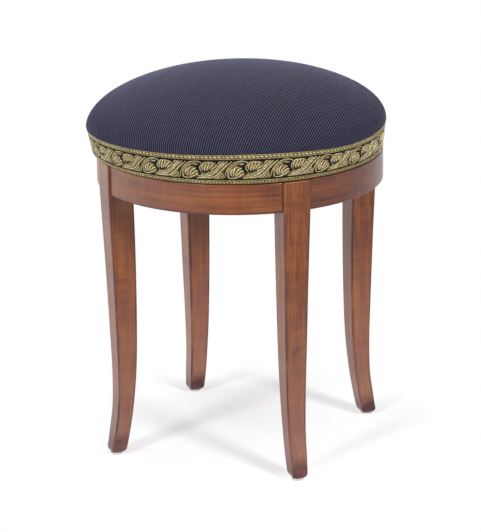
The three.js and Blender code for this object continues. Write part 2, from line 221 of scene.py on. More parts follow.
class StoolSeatSettings(bpy.types.PropertyGroup):
    """The cushion and its ribbed cover."""

    radius: length_setting(
        "Widest radius", "Radius of the cover at its widest line", 188.6 * MM)
    widest: length_setting(
        "Widest height", "Height of the widest line of the cover", 422.8 * MM)
    top: length_setting("Top", "Height of the top of the crown", CROWN_TOP - 0.8 * MM)
    flatness: plain_setting(
        "Shoulder", "Higher is fuller at the shoulder of the crown", 2.05, min=1, max=4)
    fullness: plain_setting(
        "Crown", "Higher is fuller towards the top of the crown", 1.88, min=1, max=4)
    rib_pitch: length_setting(
        "Rib spacing", "From one rib of the cloth to the next", 2.96 * MM, min=0.001)
    rib_height: length_setting("Rib height", "How far the ribs stand up", 0.28 * MM, min=0)
    rib_angle: angle_setting("Rib direction", "Direction of the ribs in plan, from +X", 51.4)
    foot_shift: place_setting(
        "Foot shift", "How far off centre the cushion's foot sits", -2.45 * MM, 1.0 * MM)
    rim_shift: place_setting(
        "Rim shift", "How far off centre the cushion's widest line sits", -3.9 * MM, 1.6 * MM)
    crown_shift: place_setting(
        "Crown shift", "How far off centre the top of the crown sits", 1.4 * MM, -0.6 * MM)
    edge_wave: plain_setting(
        "Edge wave", "How strongly the seat's edge rises and sinks round the seat", 1.0,
        min=0, max=2)
    # painted shade round the cloth's low edge
    edge_shade: plain_setting(
        "Edge depth", "How much deeper the cloth's colour is round its edge", 0.30,
        min=0, max=1)
    # the groove colour is partly a painted shade between the ribs, and the rib colour partly a
    # painted highlight on their crests
    groove_shade: colour_setting(
        "Groove colour", "Colour of the cloth between its ribs", (0.0035, 0.003, 0.017))
    rib: colour_setting(
        "Rib colour", "Colour of the ribs of the cloth", (0.175, 0.162, 0.222))


class StoolTrimSettings(bpy.types.PropertyGroup):
    """The woven band round the seat."""

    repeats: IntProperty(
        name="Repeats", description="Scrolls in one round of the trim", min=1, default=21)
    start: angle_setting(
        "Pattern start", "Angle at which the first scroll of the trim begins", 3.4)
    gold: colour_setting("Gold colour", "Colour of the metal thread", (0.262, 0.186, 0.056))
    # the outline colour serves the leaves' outline thread and the painted highlights on strokes
    # and stitches
    outline: colour_setting(
        "Outline colour", "Colour of the brighter outline thread", (0.98, 0.86, 0.48))
    ground: colour_setting(
        "Ground colour", "Colour of the dark ground of the trim", (0.012, 0.012, 0.013))
    top_border: length_setting(
        "Top border", "Height of the corded border along the top", 5.5 * MM)
    low_border: length_setting(
        "Low border", "Height of the corded border along the foot", 4.7 * MM)
    border_gap: length_setting(
        "Border line", "Height of the dark line between border and field", 1.2 * MM)


class StoolStageSettings(bpy.types.PropertyGroup):
    """The camera, the floor and the light."""

    camera_place: place_setting("Camera", "Place of the camera", -1.18213, -2.91964, 1.21209)
    azimuth: angle_setting("Azimuth", "Direction that the camera looks from, from -Y", -22.019)
    elevation: angle_setting("Elevation", "Height of the camera above the horizon", 17.349)
    roll: angle_setting("Roll", "Turn of the camera round its own line of sight", -0.868)
    lens: plain_setting("Lens", "Focal length on a 36 mm sensor", 174.40, min=1)
    floor: length_setting("Floor size", "Half the side of the floor", 8.0)
    left_light: plain_setting(
        "Left light", "Strength of the soft light at the front left", 1.16)
    right_light: plain_setting(
        "Right light", "Strength of the soft light at the front right", 1.52)
    side_light: plain_setting(
        "Side light", "Strength of the wide pale light far left", 0.66)
    light_height: angle_setting(
        "Light height", "Height of the two front lights above the horizon", 26)
    light_spread: angle_setting(
        "Light softness", "How wide each front light looks from the stool", 13)
    sky: plain_setting("Sky", "Strength of the light from all round", 0.25)
    floor_glow: plain_setting(
        "Floor white", "How much white the camera sees on top of the lit floor", 0.42)
    floor_glare: plain_setting(
        "Floor glare", "How much brighter the floor is far out on the left", 1.2)
    # a painted shadow on the floor under the stool
    dim_place: place_setting(
        "Dim place", "Where the floor is darkest under the stool", 0.03, 0.09, 0.0)
    dim_reach: length_setting(
        "Dim reach", "How far the darker floor reaches from its middle", 0.17, min=0)
    floor_dim: plain_setting(
        "Floor dim", "Share of the white that is left where the floor is darkest", 0.66,
        min=0, max=1)
    shadow_reach: length_setting(
        "Shadow reach", "How far from the stool the floor's shadows have faded", 0.28, min=0)


# Meshes


def mesh_of(name, points, faces, sharp=math.radians(40)):
    """A smooth-shaded mesh whose faces point outwards."""
    mesh = bpy.data.meshes.new(name)
    mesh.from_pydata([tuple(map(float, p)) for p in points], [], faces)
    solid = bmesh.new()
    solid.from_mesh(mesh)
    bmesh.ops.remove_doubles(solid, verts=solid.verts, dist=1e-7)
    if solid.calc_volume(signed=True) < 0:
        bmesh.ops.reverse_faces(solid, faces=solid.faces)
    solid.to_mesh(mesh)
    solid.free()
    mesh.shade_smooth()
    mesh.set_sharp_from_angle(angle=sharp)
    return mesh


def loft(rings, caps=True, loop=False):
    """Points and faces through rings of points; a loop joins the last ring to the first."""
    rings = np.asarray(rings)
    count, around = rings.shape[:2]
    index = np.arange(count * around).reshape(count, around)
    faces = []
    for ring in range(count if loop else count - 1):
        after = (ring + 1) % count
        for point in range(around):
            next_point = (point + 1) % around
            faces.append((index[ring, point], index[ring, next_point],
                          index[after, next_point], index[after, point]))
    if caps:
        faces.append(tuple(index[0][::-1]))
        faces.append(tuple(index[-1]))
    return rings.reshape(-1, 3), [tuple(int(i) for i in face) for face in faces]


def revolve(profile, sides, moved=None):
    """A closed solid from a closed [radius, height] profile; moved shifts its points after."""
    angles = np.arange(sides) * TURN / sides
    profile = np.asarray(profile, float)
    rings = np.stack([
        np.outer(np.cos(angles), profile[:, 0]),
        np.outer(np.sin(angles), profile[:, 0]),
        np.tile(profile[:, 1], (sides, 1)),
    ], axis=-1)
    if moved:
        rings = moved(rings)
    return loft(rings, caps=False, loop=True)


def turned(profile, sides):
    """A solid of revolution from [radius, height] points that run from the axis to the axis."""
    return revolve([*profile, (0, profile[0][1])], sides)


def through(stations, count):
    """Smooth values through the stations, at count even steps."""
    stations = np.asarray(stations, float)
    padded = np.vstack([2 * stations[0] - stations[1], stations, 2 * stations[-1] - stations[-2]])
    steps = np.linspace(0, len(stations) - 1, count)
    found = []
    for step in steps:
        i = min(int(step), len(stations) - 2)
        t = step - i
        before, start, end, after = padded[i:i + 4]
        leave, arrive = (end - before) / 2, (after - start) / 2
        found.append(start * (2 * t**3 - 3 * t**2 + 1) + end * (3 * t**2 - 2 * t**3)
                     + leave * (t**3 - 2 * t**2 + t) + arrive * (t**3 - t**2))
    return np.array(found)


def rounded(width, height, edge, steps=5):
    """Points round a rectangle with rounded corners, centred on zero."""
    x, y = width / 2, height / 2
    points = []
    for turn, (side, end) in enumerate(((1, 1), (-1, 1), (-1, -1), (1, -1))):
        centre = (side * (x - edge), end * (y - edge))
        first = turn * QUARTER
        last = first + QUARTER
        arc = [(centre[0] + edge * math.cos(first + QUARTER * step / steps),
                centre[1] + edge * math.sin(first + QUARTER * step / steps))
               for step in range(steps + 1)]
        enter = (arc[0][0] + EDGE_SUPPORT * math.sin(first),
                 arc[0][1] - EDGE_SUPPORT * math.cos(first))
        leave = (arc[-1][0] - EDGE_SUPPORT * math.sin(last),
                 arc[-1][1] + EDGE_SUPPORT * math.cos(last))
        points += [enter, *arc, leave]
    return np.array(points)


def turned_about_z(points, angle):
    """The points turned about the Z axis."""
    points = np.array(points, float)
    c, s = math.cos(angle), math.sin(angle)
    x, y = points[..., 0].copy(), points[..., 1].copy()
    points[..., 0], points[..., 1] = c * x - s * y, s * x + c * y
    return points


def add_object(name, mesh, *materials):
    made = bpy.data.objects.new(name, mesh)
    bpy.context.scene.collection.objects.link(made)
    mesh.materials.clear()
    for material in materials:
        mesh.materials.append(material)
    return made


def give_vectors(mesh, name, values):
    """A point attribute that a material reads."""
    layer = mesh.attributes.new(name, "FLOAT_VECTOR", "POINT")
    layer.data.foreach_set("vector", np.asarray(values, np.float32).ravel())


def give_cloth_uv(mesh, places):
    """A UV map in metres, from one place in the flat cloth for each vertex."""
    layer = mesh.uv_layers.new(name="cloth")
    corners = np.zeros(len(mesh.loops), np.int32)
    mesh.loops.foreach_get("vertex_index", corners)
    layer.data.foreach_set("uv", places[corners].astype(np.float32).ravel())


def mesh_points(mesh):
    points = np.zeros(len(mesh.vertices) * 3, np.float32)
    mesh.vertices.foreach_get("co", points)
    return points.reshape(-1, 3).astype(float)


def set_points(mesh, points):
    mesh.vertices.foreach_set("co", np.asarray(points, np.float32).ravel())
    mesh.update()


def softened(node, name, width, material):
    """A merged copy of a frame node with its sharp edges eased, which stands for that node."""
    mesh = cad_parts[node].data.copy()
    solid = bmesh.new()
    solid.from_mesh(mesh)
    bmesh.ops.remove_doubles(solid, verts=solid.verts, dist=2e-6)
    bmesh.ops.dissolve_limit(
        solid, angle_limit=math.radians(0.5), verts=solid.verts, edges=solid.edges)
    solid.to_mesh(mesh)
    solid.free()
    mesh.shade_smooth()
    piece = add_object(name, mesh, material)
    bevel = piece.modifiers.new("Eased edges", "BEVEL")
    bevel.width, bevel.segments = width, 2
    bevel.limit_method, bevel.angle_limit = "ANGLE", math.radians(35)
    bevel.use_clamp_overlap = True
    bake(piece)
    piece.data.shade_smooth()
    piece.data.set_sharp_from_angle(angle=math.radians(30))
    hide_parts(node)
    return piece


def baked_mesh(piece):
    """The evaluated mesh of an object, its modifiers included."""
    bpy.context.view_layer.update()
    graph = bpy.context.evaluated_depsgraph_get()
    return bpy.data.meshes.new_from_object(piece.evaluated_get(graph))


def bake(piece):
    """Puts the result of an object's modifiers in its mesh and takes them off."""
    piece.data = baked_mesh(piece)
    piece.modifiers.clear()


# Copies in a ring, by Geometry Nodes


def ring_tree():
    """Copies of one piece round the Z axis, each turned to face outwards."""
    found = bpy.data.node_groups.get("Ring of copies")
    if found:
        return found
    tree = bpy.data.node_groups.new("Ring of copies", "GeometryNodeTree")
    sockets = tree.interface
    sockets.new_socket(name="Geometry", in_out="OUTPUT", socket_type="NodeSocketGeometry")
    for name, kind, value in (
            ("Piece", "NodeSocketObject", None),
            ("Count", "NodeSocketInt", 4),
            ("Ring radius", "NodeSocketFloat", 0.1),
            ("Height", "NodeSocketFloat", 0.0),
            ("First angle", "NodeSocketFloat", 0.0),
            ("Spin range", "NodeSocketFloat", 0.0),
            ("Seed", "NodeSocketInt", 1),
            ("Material", "NodeSocketMaterial", None)):
        made = sockets.new_socket(name=name, in_out="INPUT", socket_type=kind)
        if value is not None:
            made.default_value = value
    add, link = tree.nodes.new, tree.links.new
    given = add("NodeGroupInput")

    def compute(operation, first, second=None):
        node = add("ShaderNodeMath")
        node.operation = operation
        for i, value in enumerate((first, second)):
            if isinstance(value, (int, float)):
                node.inputs[i].default_value = value
            elif value is not None:
                link(value, node.inputs[i])
        return node.outputs[0]

    index = add("GeometryNodeInputIndex").outputs[0]
    share = compute("DIVIDE", index, given.outputs["Count"])
    angle = compute("ADD", compute("MULTIPLY", share, TURN), given.outputs["First angle"])
    place = add("ShaderNodeCombineXYZ")
    for axis, wave in enumerate(("COSINE", "SINE")):
        link(compute("MULTIPLY", compute(wave, angle), given.outputs["Ring radius"]),
             place.inputs[axis])
    link(given.outputs["Height"], place.inputs[2])
    points = add("GeometryNodePoints")
    link(given.outputs["Count"], points.inputs["Count"])
    link(place.outputs[0], points.inputs["Position"])
    random = add("FunctionNodeRandomValue")
    random.data_type = "FLOAT"
    low, high = [s for s in random.inputs if s.type == "VALUE"][:2]
    low.default_value, high.default_value = -0.5, 0.5
    link(given.outputs["Seed"], random.inputs["Seed"])
    drawn = next(s for s in random.outputs if s.type == "VALUE")
    spin = compute("MULTIPLY", drawn, given.outputs["Spin range"])
    rotation = add("ShaderNodeCombineXYZ")
    link(compute("ADD", angle, spin), rotation.inputs[2])
    piece = add("GeometryNodeObjectInfo")
    piece.transform_space = "ORIGINAL"
    link(given.outputs["Piece"], piece.inputs["Object"])
    copies = add("GeometryNodeInstanceOnPoints")
    link(points.outputs[0], copies.inputs["Points"])
    link(piece.outputs["Geometry"], copies.inputs["Instance"])
    link(rotation.outputs[0], copies.inputs["Rotation"])
    real = add("GeometryNodeRealizeInstances")
    link(copies.outputs[0], real.inputs[0])
    painted = add("GeometryNodeSetMaterial")
    link(real.outputs[0], painted.inputs["Geometry"])
    link(given.outputs["Material"], painted.inputs["Material"])
    result = add("NodeGroupOutput")
    link(painted.outputs[0], result.inputs[0])
    return tree


def ring_of(mesh, material, count, radius=0.0, height=0.0, first=0.0, spin=0.0, seed=1):
    """A plain mesh with count copies of mesh in a ring."""
    source = add_object("one_copy", mesh, material)
    carrier = add_object("ring_of_copies", bpy.data.meshes.new("ring_of_copies"))
    modifier = carrier.modifiers.new("Ring of copies", "NODES")
    tree = ring_tree()
    modifier.node_group = tree
    values = {
        "Piece": source, "Count": count, "Ring radius": radius, "Height": height,
        "First angle": first, "Spin range": spin, "Seed": seed, "Material": material,
    }
    for item in tree.interface.items_tree:
        if item.in_out == "INPUT" and item.name in values:
            value = values[item.name]
            modifier[item.identifier] = (
                float(value) if item.socket_type == "NodeSocketFloat" else value)
    result = baked_mesh(carrier)
    bpy.data.objects.remove(carrier)
    bpy.data.objects.remove(source)
    return result


# Materials


class Finish:
    """A material under construction: adds nodes and joins them."""

    def __init__(self, name):
        self.material = bpy.data.materials.new(name)
        self.material.use_nodes = True
        self.tree = self.material.node_tree
        self.tree.nodes.clear()
        self.shader = self.tree.nodes.new("ShaderNodeBsdfPrincipled")
        result = self.tree.nodes.new("ShaderNodeOutputMaterial")
        self.tree.links.new(self.shader.outputs[0], result.inputs[0])

    def put(self, socket, value):
        if isinstance(value, bpy.types.NodeSocket):
            self.tree.links.new(value, socket)
        elif hasattr(value, "__len__") and len(value) == 3 and socket.type == "RGBA":
            socket.default_value = (*value, 1)
        else:
            socket.default_value = value

    def node(self, kind, inputs=None, **settings):
        made = self.tree.nodes.new(kind)
        for key, value in settings.items():
            setattr(made, key, value)
        for key, value in (inputs or {}).items():
            self.put(made.inputs[key], value)
        return made

    def math(self, operation, *values, clamp=False):
        made = self.node("ShaderNodeMath", dict(enumerate(values)), operation=operation)
        made.use_clamp = clamp
        return made.outputs[0]

    def scaled(self, vector, scale):
        return self.node("ShaderNodeMapping", {"Vector": vector, "Scale": scale}).outputs[0]

    def noise(self, vector, scale, detail=4.0, rough=0.5, warp=0.0):
        return self.node("ShaderNodeTexNoise", {
            "Vector": vector, "Scale": scale, "Detail": detail,
            "Roughness": rough, "Distortion": warp}).outputs[0]

    def spread(self, value, low, high, start=0.0, end=1.0, easing="LINEAR"):
        """Maps the values from low to high onto start to end."""
        return self.node("ShaderNodeMapRange", {
            "Value": value, "From Min": low, "From Max": high, "To Min": start, "To Max": end},
            interpolation_type=easing).outputs[0]

    def smooth(self, value, low, high, start=0.0, end=1.0):
        return self.spread(value, low, high, start, end, "SMOOTHSTEP")

    def mix(self, share, first, second):
        made = self.node("ShaderNodeMix", data_type="RGBA")
        for index, value in ((0, share), (6, first), (7, second)):
            self.put(made.inputs[index], value)
        return made.outputs[2]

    def attribute(self, name):
        return self.node("ShaderNodeAttribute", attribute_name=name).outputs["Vector"]

    def place(self):
        return self.node("ShaderNodeTexCoord").outputs["Object"]

    def cloth_place(self):
        return self.node("ShaderNodeUVMap", uv_map="cloth").outputs[0]

    def parts(self, vector):
        return self.node("ShaderNodeSeparateXYZ", {0: vector}).outputs

    def wave(self, value, length, operation="SINE"):
        return self.math(operation, self.math("MULTIPLY", value, TURN / length))

    def bump(self, height, distance, strength=1.0):
        return self.node("ShaderNodeBump", {
            "Height": height, "Distance": distance, "Strength": strength}).outputs[0]

    def ends_in(self, shader):
        """The material with another shader in place of the principled one."""
        result = next(n for n in self.tree.nodes if n.type == "OUTPUT_MATERIAL")
        self.put(result.inputs[0], shader)
        self.tree.nodes.remove(self.shader)
        return self.material

    def finish(self, **values):
        for key, value in values.items():
            self.put(self.shader.inputs[key.replace("_", " ")], value)
        return self.material


def finish_named(name):
    """Makes a function that builds a material return the one of that name once it is built."""
    def marked(build):
        @functools.wraps(build)
        def found():
            return bpy.data.materials.get(name) or build(Finish(name))
        return found
    return marked


def dimmed(colour, share):
    """A share of a colour."""
    return tuple(share * part for part in colour)


def wood_tone(wood, place, deep, body, light, pores):
    """Colour, fine height and streaks of wood whose grain runs along the third coordinate."""
    tone, layers = None, []
    for stretch, scale, detail, rough, warp, share in GRAIN_LAYERS:
        layer = wood.noise(wood.scaled(place, stretch), scale, detail, rough, warp)
        part = wood.math("MULTIPLY", layer, share)
        tone = wood.math("ADD", tone, part) if layers else part
        layers.append(layer)
    line = layers[1]
    ramp = wood.node("ShaderNodeValToRGB", {0: wood.spread(tone, *TONE_SPREAD)})
    stops = ramp.color_ramp.elements
    stops[0].position, stops[0].color = 0.0, (*deep, 1)
    stops[1].position, stops[1].color = 1.0, (*light, 1)
    stops.new(0.5).color = (*body, 1)
    pore = wood.noise(wood.scaled(place, PORE_STRETCH), 1500, 2, 0.5)
    pits = wood.spread(pore, 0.60, 0.72, 0.0, pores)
    colour = wood.mix(pits, ramp.outputs[0], dimmed(deep, 0.5))
    height = wood.math("SUBTRACT", wood.math("MULTIPLY", line, 0.5), pits)
    return colour, height, line


@finish_named("Polished reddish wood")
def polished_wood(wood):
    """Stained and polished wood, darker along its edges, at its joints and at the feet, with a
    painted shade high on the back and left legs and a painted reflection of the pale floor low on
    the legs.
    """
    s = bpy.context.scene.stool_wood
    place = wood.attribute("grain")
    colour, height, line = wood_tone(wood, place, s.deep, s.body, s.light, 0.4)
    # the third part holds the stain, and high on the back and left legs also a painted shade under
    # the seat
    across, up, stain = wood.parts(wood.attribute("section"))[:3]
    corner = wood.math("MINIMUM", wood.math("ABSOLUTE", across), wood.math("ABSOLUTE", up))
    rub = wood.noise(wood.scaled(place, (1, 1, 0.25)), 90, 4, 0.6)
    reach = wood.math("ADD", corner, wood.spread(rub, 0.3, 0.7, -0.12, 0.12))
    edge = wood.spread(reach, 0.72, 0.98, 0.0, 0.86)
    blotch = wood.spread(wood.noise(place, 26, 2, 0.5), 0.35, 0.65, 0.55, 1.25)
    glaze_and_shade = wood.math("MAXIMUM", edge, wood.math("MULTIPLY", stain, blotch), clamp=True)
    colour = wood.mix(glaze_and_shade, colour, s.glaze)
    colour = wood.mix(knot_share(wood), colour, dimmed(s.glaze, 0.5))
    # painted reflection of the pale floor: the low parts of the legs turn pale, varied by the rub
    # noise
    wear_and_painted_sheen = wood.math(
        "MULTIPLY", wood.spread(wood.parts(wood.place())[2], FLOOR_SHEEN_LOW, FLOOR_SHEEN_HIGH, 0.52, 0.0),
        wood.spread(rub, 0.3, 0.7, 0.75, 1.2))
    wear_and_painted_sheen = wood.math("MULTIPLY", wear_and_painted_sheen, wood.math("SUBTRACT", 1.0, glaze_and_shade))
    colour = wood.mix(wear_and_painted_sheen, colour, FLOOR_SHEEN_COLOUR)
    return wood.finish(
        Base_Color=colour, Specular_IOR_Level=0.45, Coat_Weight=0.14, Coat_Roughness=0.18,
        Roughness=wood.spread(line, 0.3, 0.7, 0.27, 0.36),
        Normal=wood.bump(height, 0.08 * MM, 0.3))


def knot_share(wood):
    """The small slanting knot low on the outside of the front leg."""
    place = wood.place()
    local = place
    for key, value in (
            ("Location", tuple(-v for v in KNOT_PLACE)),
            ("Rotation", (0, KNOT_SLANT, 0)),
            ("Scale", tuple(1 / v for v in KNOT_SIZE))):
        local = wood.node("ShaderNodeMapping", {"Vector": local, key: value}).outputs[0]
    away = wood.node("ShaderNodeVectorMath", {0: local}, operation="LENGTH").outputs["Value"]
    ragged = wood.noise(place, 500, 3, 0.6)
    return wood.spread(wood.math("ADD", away, ragged), 0.8, 2.0, 0.62, 0.0)


@finish_named("Plain beech")
def plain_wood(wood):
    """Unpolished beech."""
    colour, height, line = wood_tone(
        wood, wood.attribute("grain"),
        (0.30, 0.17, 0.08), (0.50, 0.31, 0.155), (0.62, 0.43, 0.24), 0.35)
    return wood.finish(
        Base_Color=colour, Roughness=wood.spread(line, 0.3, 0.7, 0.58, 0.7),
        Normal=wood.bump(height, 0.12 * MM, 0.4))


@finish_named("Plywood")
def board_ply(ply):
    """Plywood: the plies show round the edge."""
    place = ply.place()
    face = ply.noise(ply.scaled(place, (1, 0.05, 1)), 130, 6, 0.6, 1.0)
    fibre = ply.noise(ply.scaled(place, (1, 0.02, 1)), 800, 3, 0.6)
    layer = ply.wave(ply.parts(place)[2], 5 * MM)
    steep = ply.parts(ply.node("ShaderNodeNewGeometry").outputs["Normal"])[2]
    edge = ply.math("LESS_THAN", ply.math("ABSOLUTE", steep), 0.5)
    band = ply.math("MULTIPLY", edge, ply.spread(layer, -0.2, 0.2, 0.0, 0.55))
    share = ply.spread(ply.math("ADD", face, ply.math("MULTIPLY", fibre, 0.3)), 0.45, 0.85)
    colour = ply.mix(share, (0.42, 0.27, 0.13), (0.66, 0.48, 0.29))
    colour = ply.mix(band, colour, (0.26, 0.15, 0.07))
    return ply.finish(
        Base_Color=colour, Roughness=ply.spread(fibre, 0.3, 0.7, 0.6, 0.75),
        Normal=ply.bump(fibre, 0.2 * MM, 0.4))


@finish_named("Black cast iron")
def black_iron(iron):
    """Cast iron under worn black paint."""
    place = iron.place()
    sand = iron.noise(place, 900, 4, 0.65)
    lump = iron.noise(place, 130, 3, 0.5)
    wear_and_painted_sheen = iron.spread(iron.noise(place, 60, 6, 0.7, 0.6), 0.60, 0.72, 0.0, 0.6)
    colour = iron.mix(wear_and_painted_sheen, (0.018, 0.018, 0.019), (0.10, 0.085, 0.075))
    height = iron.math("ADD", iron.math("MULTIPLY", sand, 0.5), lump)
    return iron.finish(
        Base_Color=colour, Metallic=0.35, Roughness=iron.spread(sand, 0.3, 0.7, 0.42, 0.6),
        Normal=iron.bump(height, 0.4 * MM, 0.6))


@finish_named("Turned steel")
def bright_steel(steel):
    """Turned steel with fine rings and a trace of oil."""
    place = steel.place()
    rings = steel.noise(steel.scaled(place, (0.05, 0.05, 1)), 2600, 3, 0.6)
    stain = steel.noise(place, 110, 4, 0.6, 0.5)
    colour = steel.mix(steel.spread(stain, 0.4, 0.7), (0.52, 0.51, 0.50), (0.34, 0.32, 0.30))
    return steel.finish(
        Base_Color=colour, Metallic=1.0, Roughness=steel.spread(rings, 0.3, 0.7, 0.22, 0.38),
        Normal=steel.bump(rings, 0.05 * MM, 0.5))


@finish_named("Pale nylon")
def pale_glide(glide):
    """Off-white nylon, scuffed where it slides."""
    place = glide.place()
    scuff = glide.noise(place, 420, 5, 0.7)
    low = glide.spread(glide.parts(place)[2], 0.0, 1.5 * MM, 0.5, 0.0)
    dirt = glide.math("MULTIPLY", low, glide.spread(scuff, 0.45, 0.62))
    colour = glide.mix(dirt, (0.74, 0.72, 0.67), (0.30, 0.27, 0.23))
    return glide.finish(
        Base_Color=colour, Roughness=glide.spread(scuff, 0.3, 0.7, 0.42, 0.6),
        Normal=glide.bump(scuff, 0.06 * MM, 0.5))


@finish_named("Ribbed cloth")
def ribbed_cloth(cloth):
    """Dark ribbed cloth: thin pale dotted ridges, their dots partly a painted highlight on the
    crests, over nearly black grooves, partly a painted shade.
    """
    s = bpy.context.scene.stool_seat
    uv = cloth.cloth_place()
    across, along = cloth.parts(uv)[:2]
    wander = cloth.noise(cloth.scaled(uv, (1, 0.3, 1)), 60, 3, 0.6)
    # painted highlight in pale dots along the ribs' crests, and painted shade in the nearly black
    # grooves
    crest = cloth.spread(cloth.wave(across, s.rib_pitch, "COSINE"), 0.25, 0.85)
    weft = cloth.math("ADD", cloth.wave(along, WEFT_PITCH), cloth.math("MULTIPLY", wander, 1.6))
    weft = cloth.spread(weft, -0.6, 1.6, 0.35, 1.15)
    fuzz = cloth.noise(uv, 2400, 3, 0.7)
    crest_highlights = cloth.math("MULTIPLY", crest, weft)
    share = cloth.math("MULTIPLY", crest_highlights, cloth.spread(fuzz, 0.3, 0.7, 0.7, 1.2), clamp=True)
    colour = cloth.mix(share, s.groove_shade, s.rib)
    wear_and_painted_sheen = cloth.spread(cloth.noise(uv, 13, 3, 0.6, 0.5), 0.35, 0.7, 0.0, 0.10)
    colour = cloth.mix(wear_and_painted_sheen, colour, (0.045, 0.042, 0.085))
    # painted shade: the cloth is deeper in colour round its low edge, where it faces away from the
    # sky
    height_above = cloth.parts(cloth.place())[2]
    painted_edge_shade = cloth.smooth(height_above, CLOTH_SHADE_LOW, CLOTH_SHADE_HIGH, s.edge_shade, 0.0)
    colour = cloth.mix(painted_edge_shade, colour, (0.006, 0.005, 0.030))
    height = cloth.math("ADD", crest_highlights, cloth.math("MULTIPLY", fuzz, 0.3))
    return cloth.finish(
        Base_Color=colour, Roughness=0.85, Sheen_Weight=0.24, Sheen_Roughness=0.38,
        Sheen_Tint=(0.66, 0.66, 1.0), Specular_IOR_Level=0.2,
        Normal=cloth.bump(height, 0.14 * MM, 0.6))


@finish_named("Matted stuffing")
def stuffing(fibre):
    """Pale matted fibre."""
    tangle = fibre.noise(fibre.place(), 260, 6, 0.7, 1.4)
    colour = fibre.mix(fibre.spread(tangle, 0.35, 0.65), (0.52, 0.45, 0.33), (0.74, 0.68, 0.55))
    return fibre.finish(
        Base_Color=colour, Roughness=0.95, Normal=fibre.bump(tangle, 1.5 * MM, 0.7))


@finish_named("Gold thread")
def gold_thread(gold):
    """Metal thread: fine slanting strands, flecked, and bright along each outline: an outline
    thread round the leaves, and a painted highlight along one side of each stroke and on each
    stitch's crest.
    """
    s = bpy.context.scene.stool_trim
    rim, along, across = gold.parts(gold.attribute("thread"))[:3]
    slanting = gold.math("ADD", along, gold.math("MULTIPLY", across, 0.8))
    strand = gold.wave(slanting, STRAND_PITCH)
    place = gold.place()
    glint = gold.noise(place, 1300, 2, 0.6)
    fleck = gold.noise(place, 520, 2, 0.6)
    colour = gold.mix(gold.spread(strand, -0.6, 0.6, 0.0, 0.8), s.gold, dimmed(s.gold, 0.35))
    colour = gold.mix(gold.spread(fleck, 0.43, 0.50, 0.9, 0.0), colour, dimmed(s.gold, 0.2))
    # bright outline colour: the leaves' outline thread, and a painted highlight along one side of
    # each stroke and on the stitches' crests
    outline_and_highlight = gold.math("MULTIPLY", rim, gold.spread(fleck, 0.36, 0.5, 0.55, 1.0))
    colour = gold.mix(outline_and_highlight, colour, s.outline)
    tarnish = gold.spread(gold.noise(place, 150, 5, 0.65), 0.50, 0.72, 0.0, 0.5)
    colour = gold.mix(tarnish, colour, (0.13, 0.095, 0.04))
    ruddy = gold.spread(gold.noise(place, 55, 3, 0.5), 0.48, 0.64, 0.0, 0.3)
    colour = gold.mix(ruddy, colour, (0.34, 0.18, 0.085))
    return gold.finish(
        Base_Color=colour, Metallic=0.35, Specular_IOR_Level=0.3,
        Roughness=gold.spread(glint, 0.3, 0.7, 0.3, 0.52),
        Normal=gold.bump(gold.math("ADD", strand, glint), 0.12 * MM, 0.6))


@finish_named("Dark trim ground")
def trim_ground(ground):
    """The dark close weave behind the gold, with the woven gold under the border cords."""
    s = bpy.context.scene.stool_trim
    uv = ground.cloth_place()
    along, up = ground.parts(uv)[:2]
    weave = ground.math("MULTIPLY", ground.wave(along, 0.9 * MM), ground.wave(up, 0.7 * MM))
    fleck = ground.spread(ground.noise(uv, 900, 3, 0.6), 0.55, 0.7, 0.0, 0.6)
    colour = ground.mix(fleck, s.ground, (0.13, 0.10, 0.045))
    corded = ground.math(
        "MAXIMUM", ground.math("GREATER_THAN", up, TRIM_HEIGHT - s.top_border),
        ground.math("LESS_THAN", up, s.low_border))
    cord = ground.mix(
        ground.spread(ground.noise(uv, 750, 3, 0.6), 0.4, 0.6), dimmed(s.gold, 0.4), s.gold)
    return ground.finish(
        Base_Color=ground.mix(corded, colour, cord), Roughness=0.9, Specular_IOR_Level=0.1,
        Normal=ground.bump(weave, 0.12 * MM, 0.6))


# Shapes of the seat


def smooth_share(values, low, high):
    """An eased share, zero below low and one above high."""
    t = np.clip((values - low) / (high - low), 0, 1)
    return t * t * (3 - 2 * t)


def settled(points):
    """How the stuffing has settled: the cushion leans a little and its edge is higher in front."""
    s = bpy.context.scene.stool_seat
    points = np.array(points, float)
    x, y, z = points[..., 0].copy(), points[..., 1].copy(), points[..., 2].copy()
    side = np.clip((z - TRIM_BOTTOM) / (s.widest - TRIM_BOTTOM), 0, 1)
    crown = np.clip((z - s.widest) / (CROWN_TOP - s.widest), 0, 1)
    waves = np.fft.rfft(EDGE_HEIGHTS)[:EDGE_WAVES] / len(EDGE_HEIGHTS)
    bearing = np.arctan2(y, x) - FRONT_BEARING
    edge = waves[0].real + 2 * sum(
        (wave * np.exp(1j * turns * bearing)).real for turns, wave in enumerate(waves[1:], 1))
    for axis, start in ((0, x), (1, y)):
        foot, rim, top = s.foot_shift[axis], s.rim_shift[axis], s.crown_shift[axis]
        points[..., axis] = start + foot + (rim - foot) * side + (top - rim) * crown
    near = np.clip(np.hypot(x, y) / (0.5 * s.radius), 0, 1)
    points[..., 2] = z + s.edge_wave * edge * MM * side * (1 - crown) * near
    return points


def side_radius(height):
    """Radius of the cover's side, which swells outwards, at a height above the trim's foot."""
    left = np.clip(1 - np.asarray(height) / TRIM_HEIGHT, 0, 1)
    return SIDE_TOP - (SIDE_TOP - SIDE_FOOT) * left**1.5


def quarter_round(centre, reach):
    """[radius, height] points of a quarter round from beside its centre to above or below it."""
    return [(centre[0] + reach[0] * math.cos(bend), centre[1] + reach[1] * math.sin(bend))
            for bend in (QUARTER * step / 5 for step in range(1, 6))]


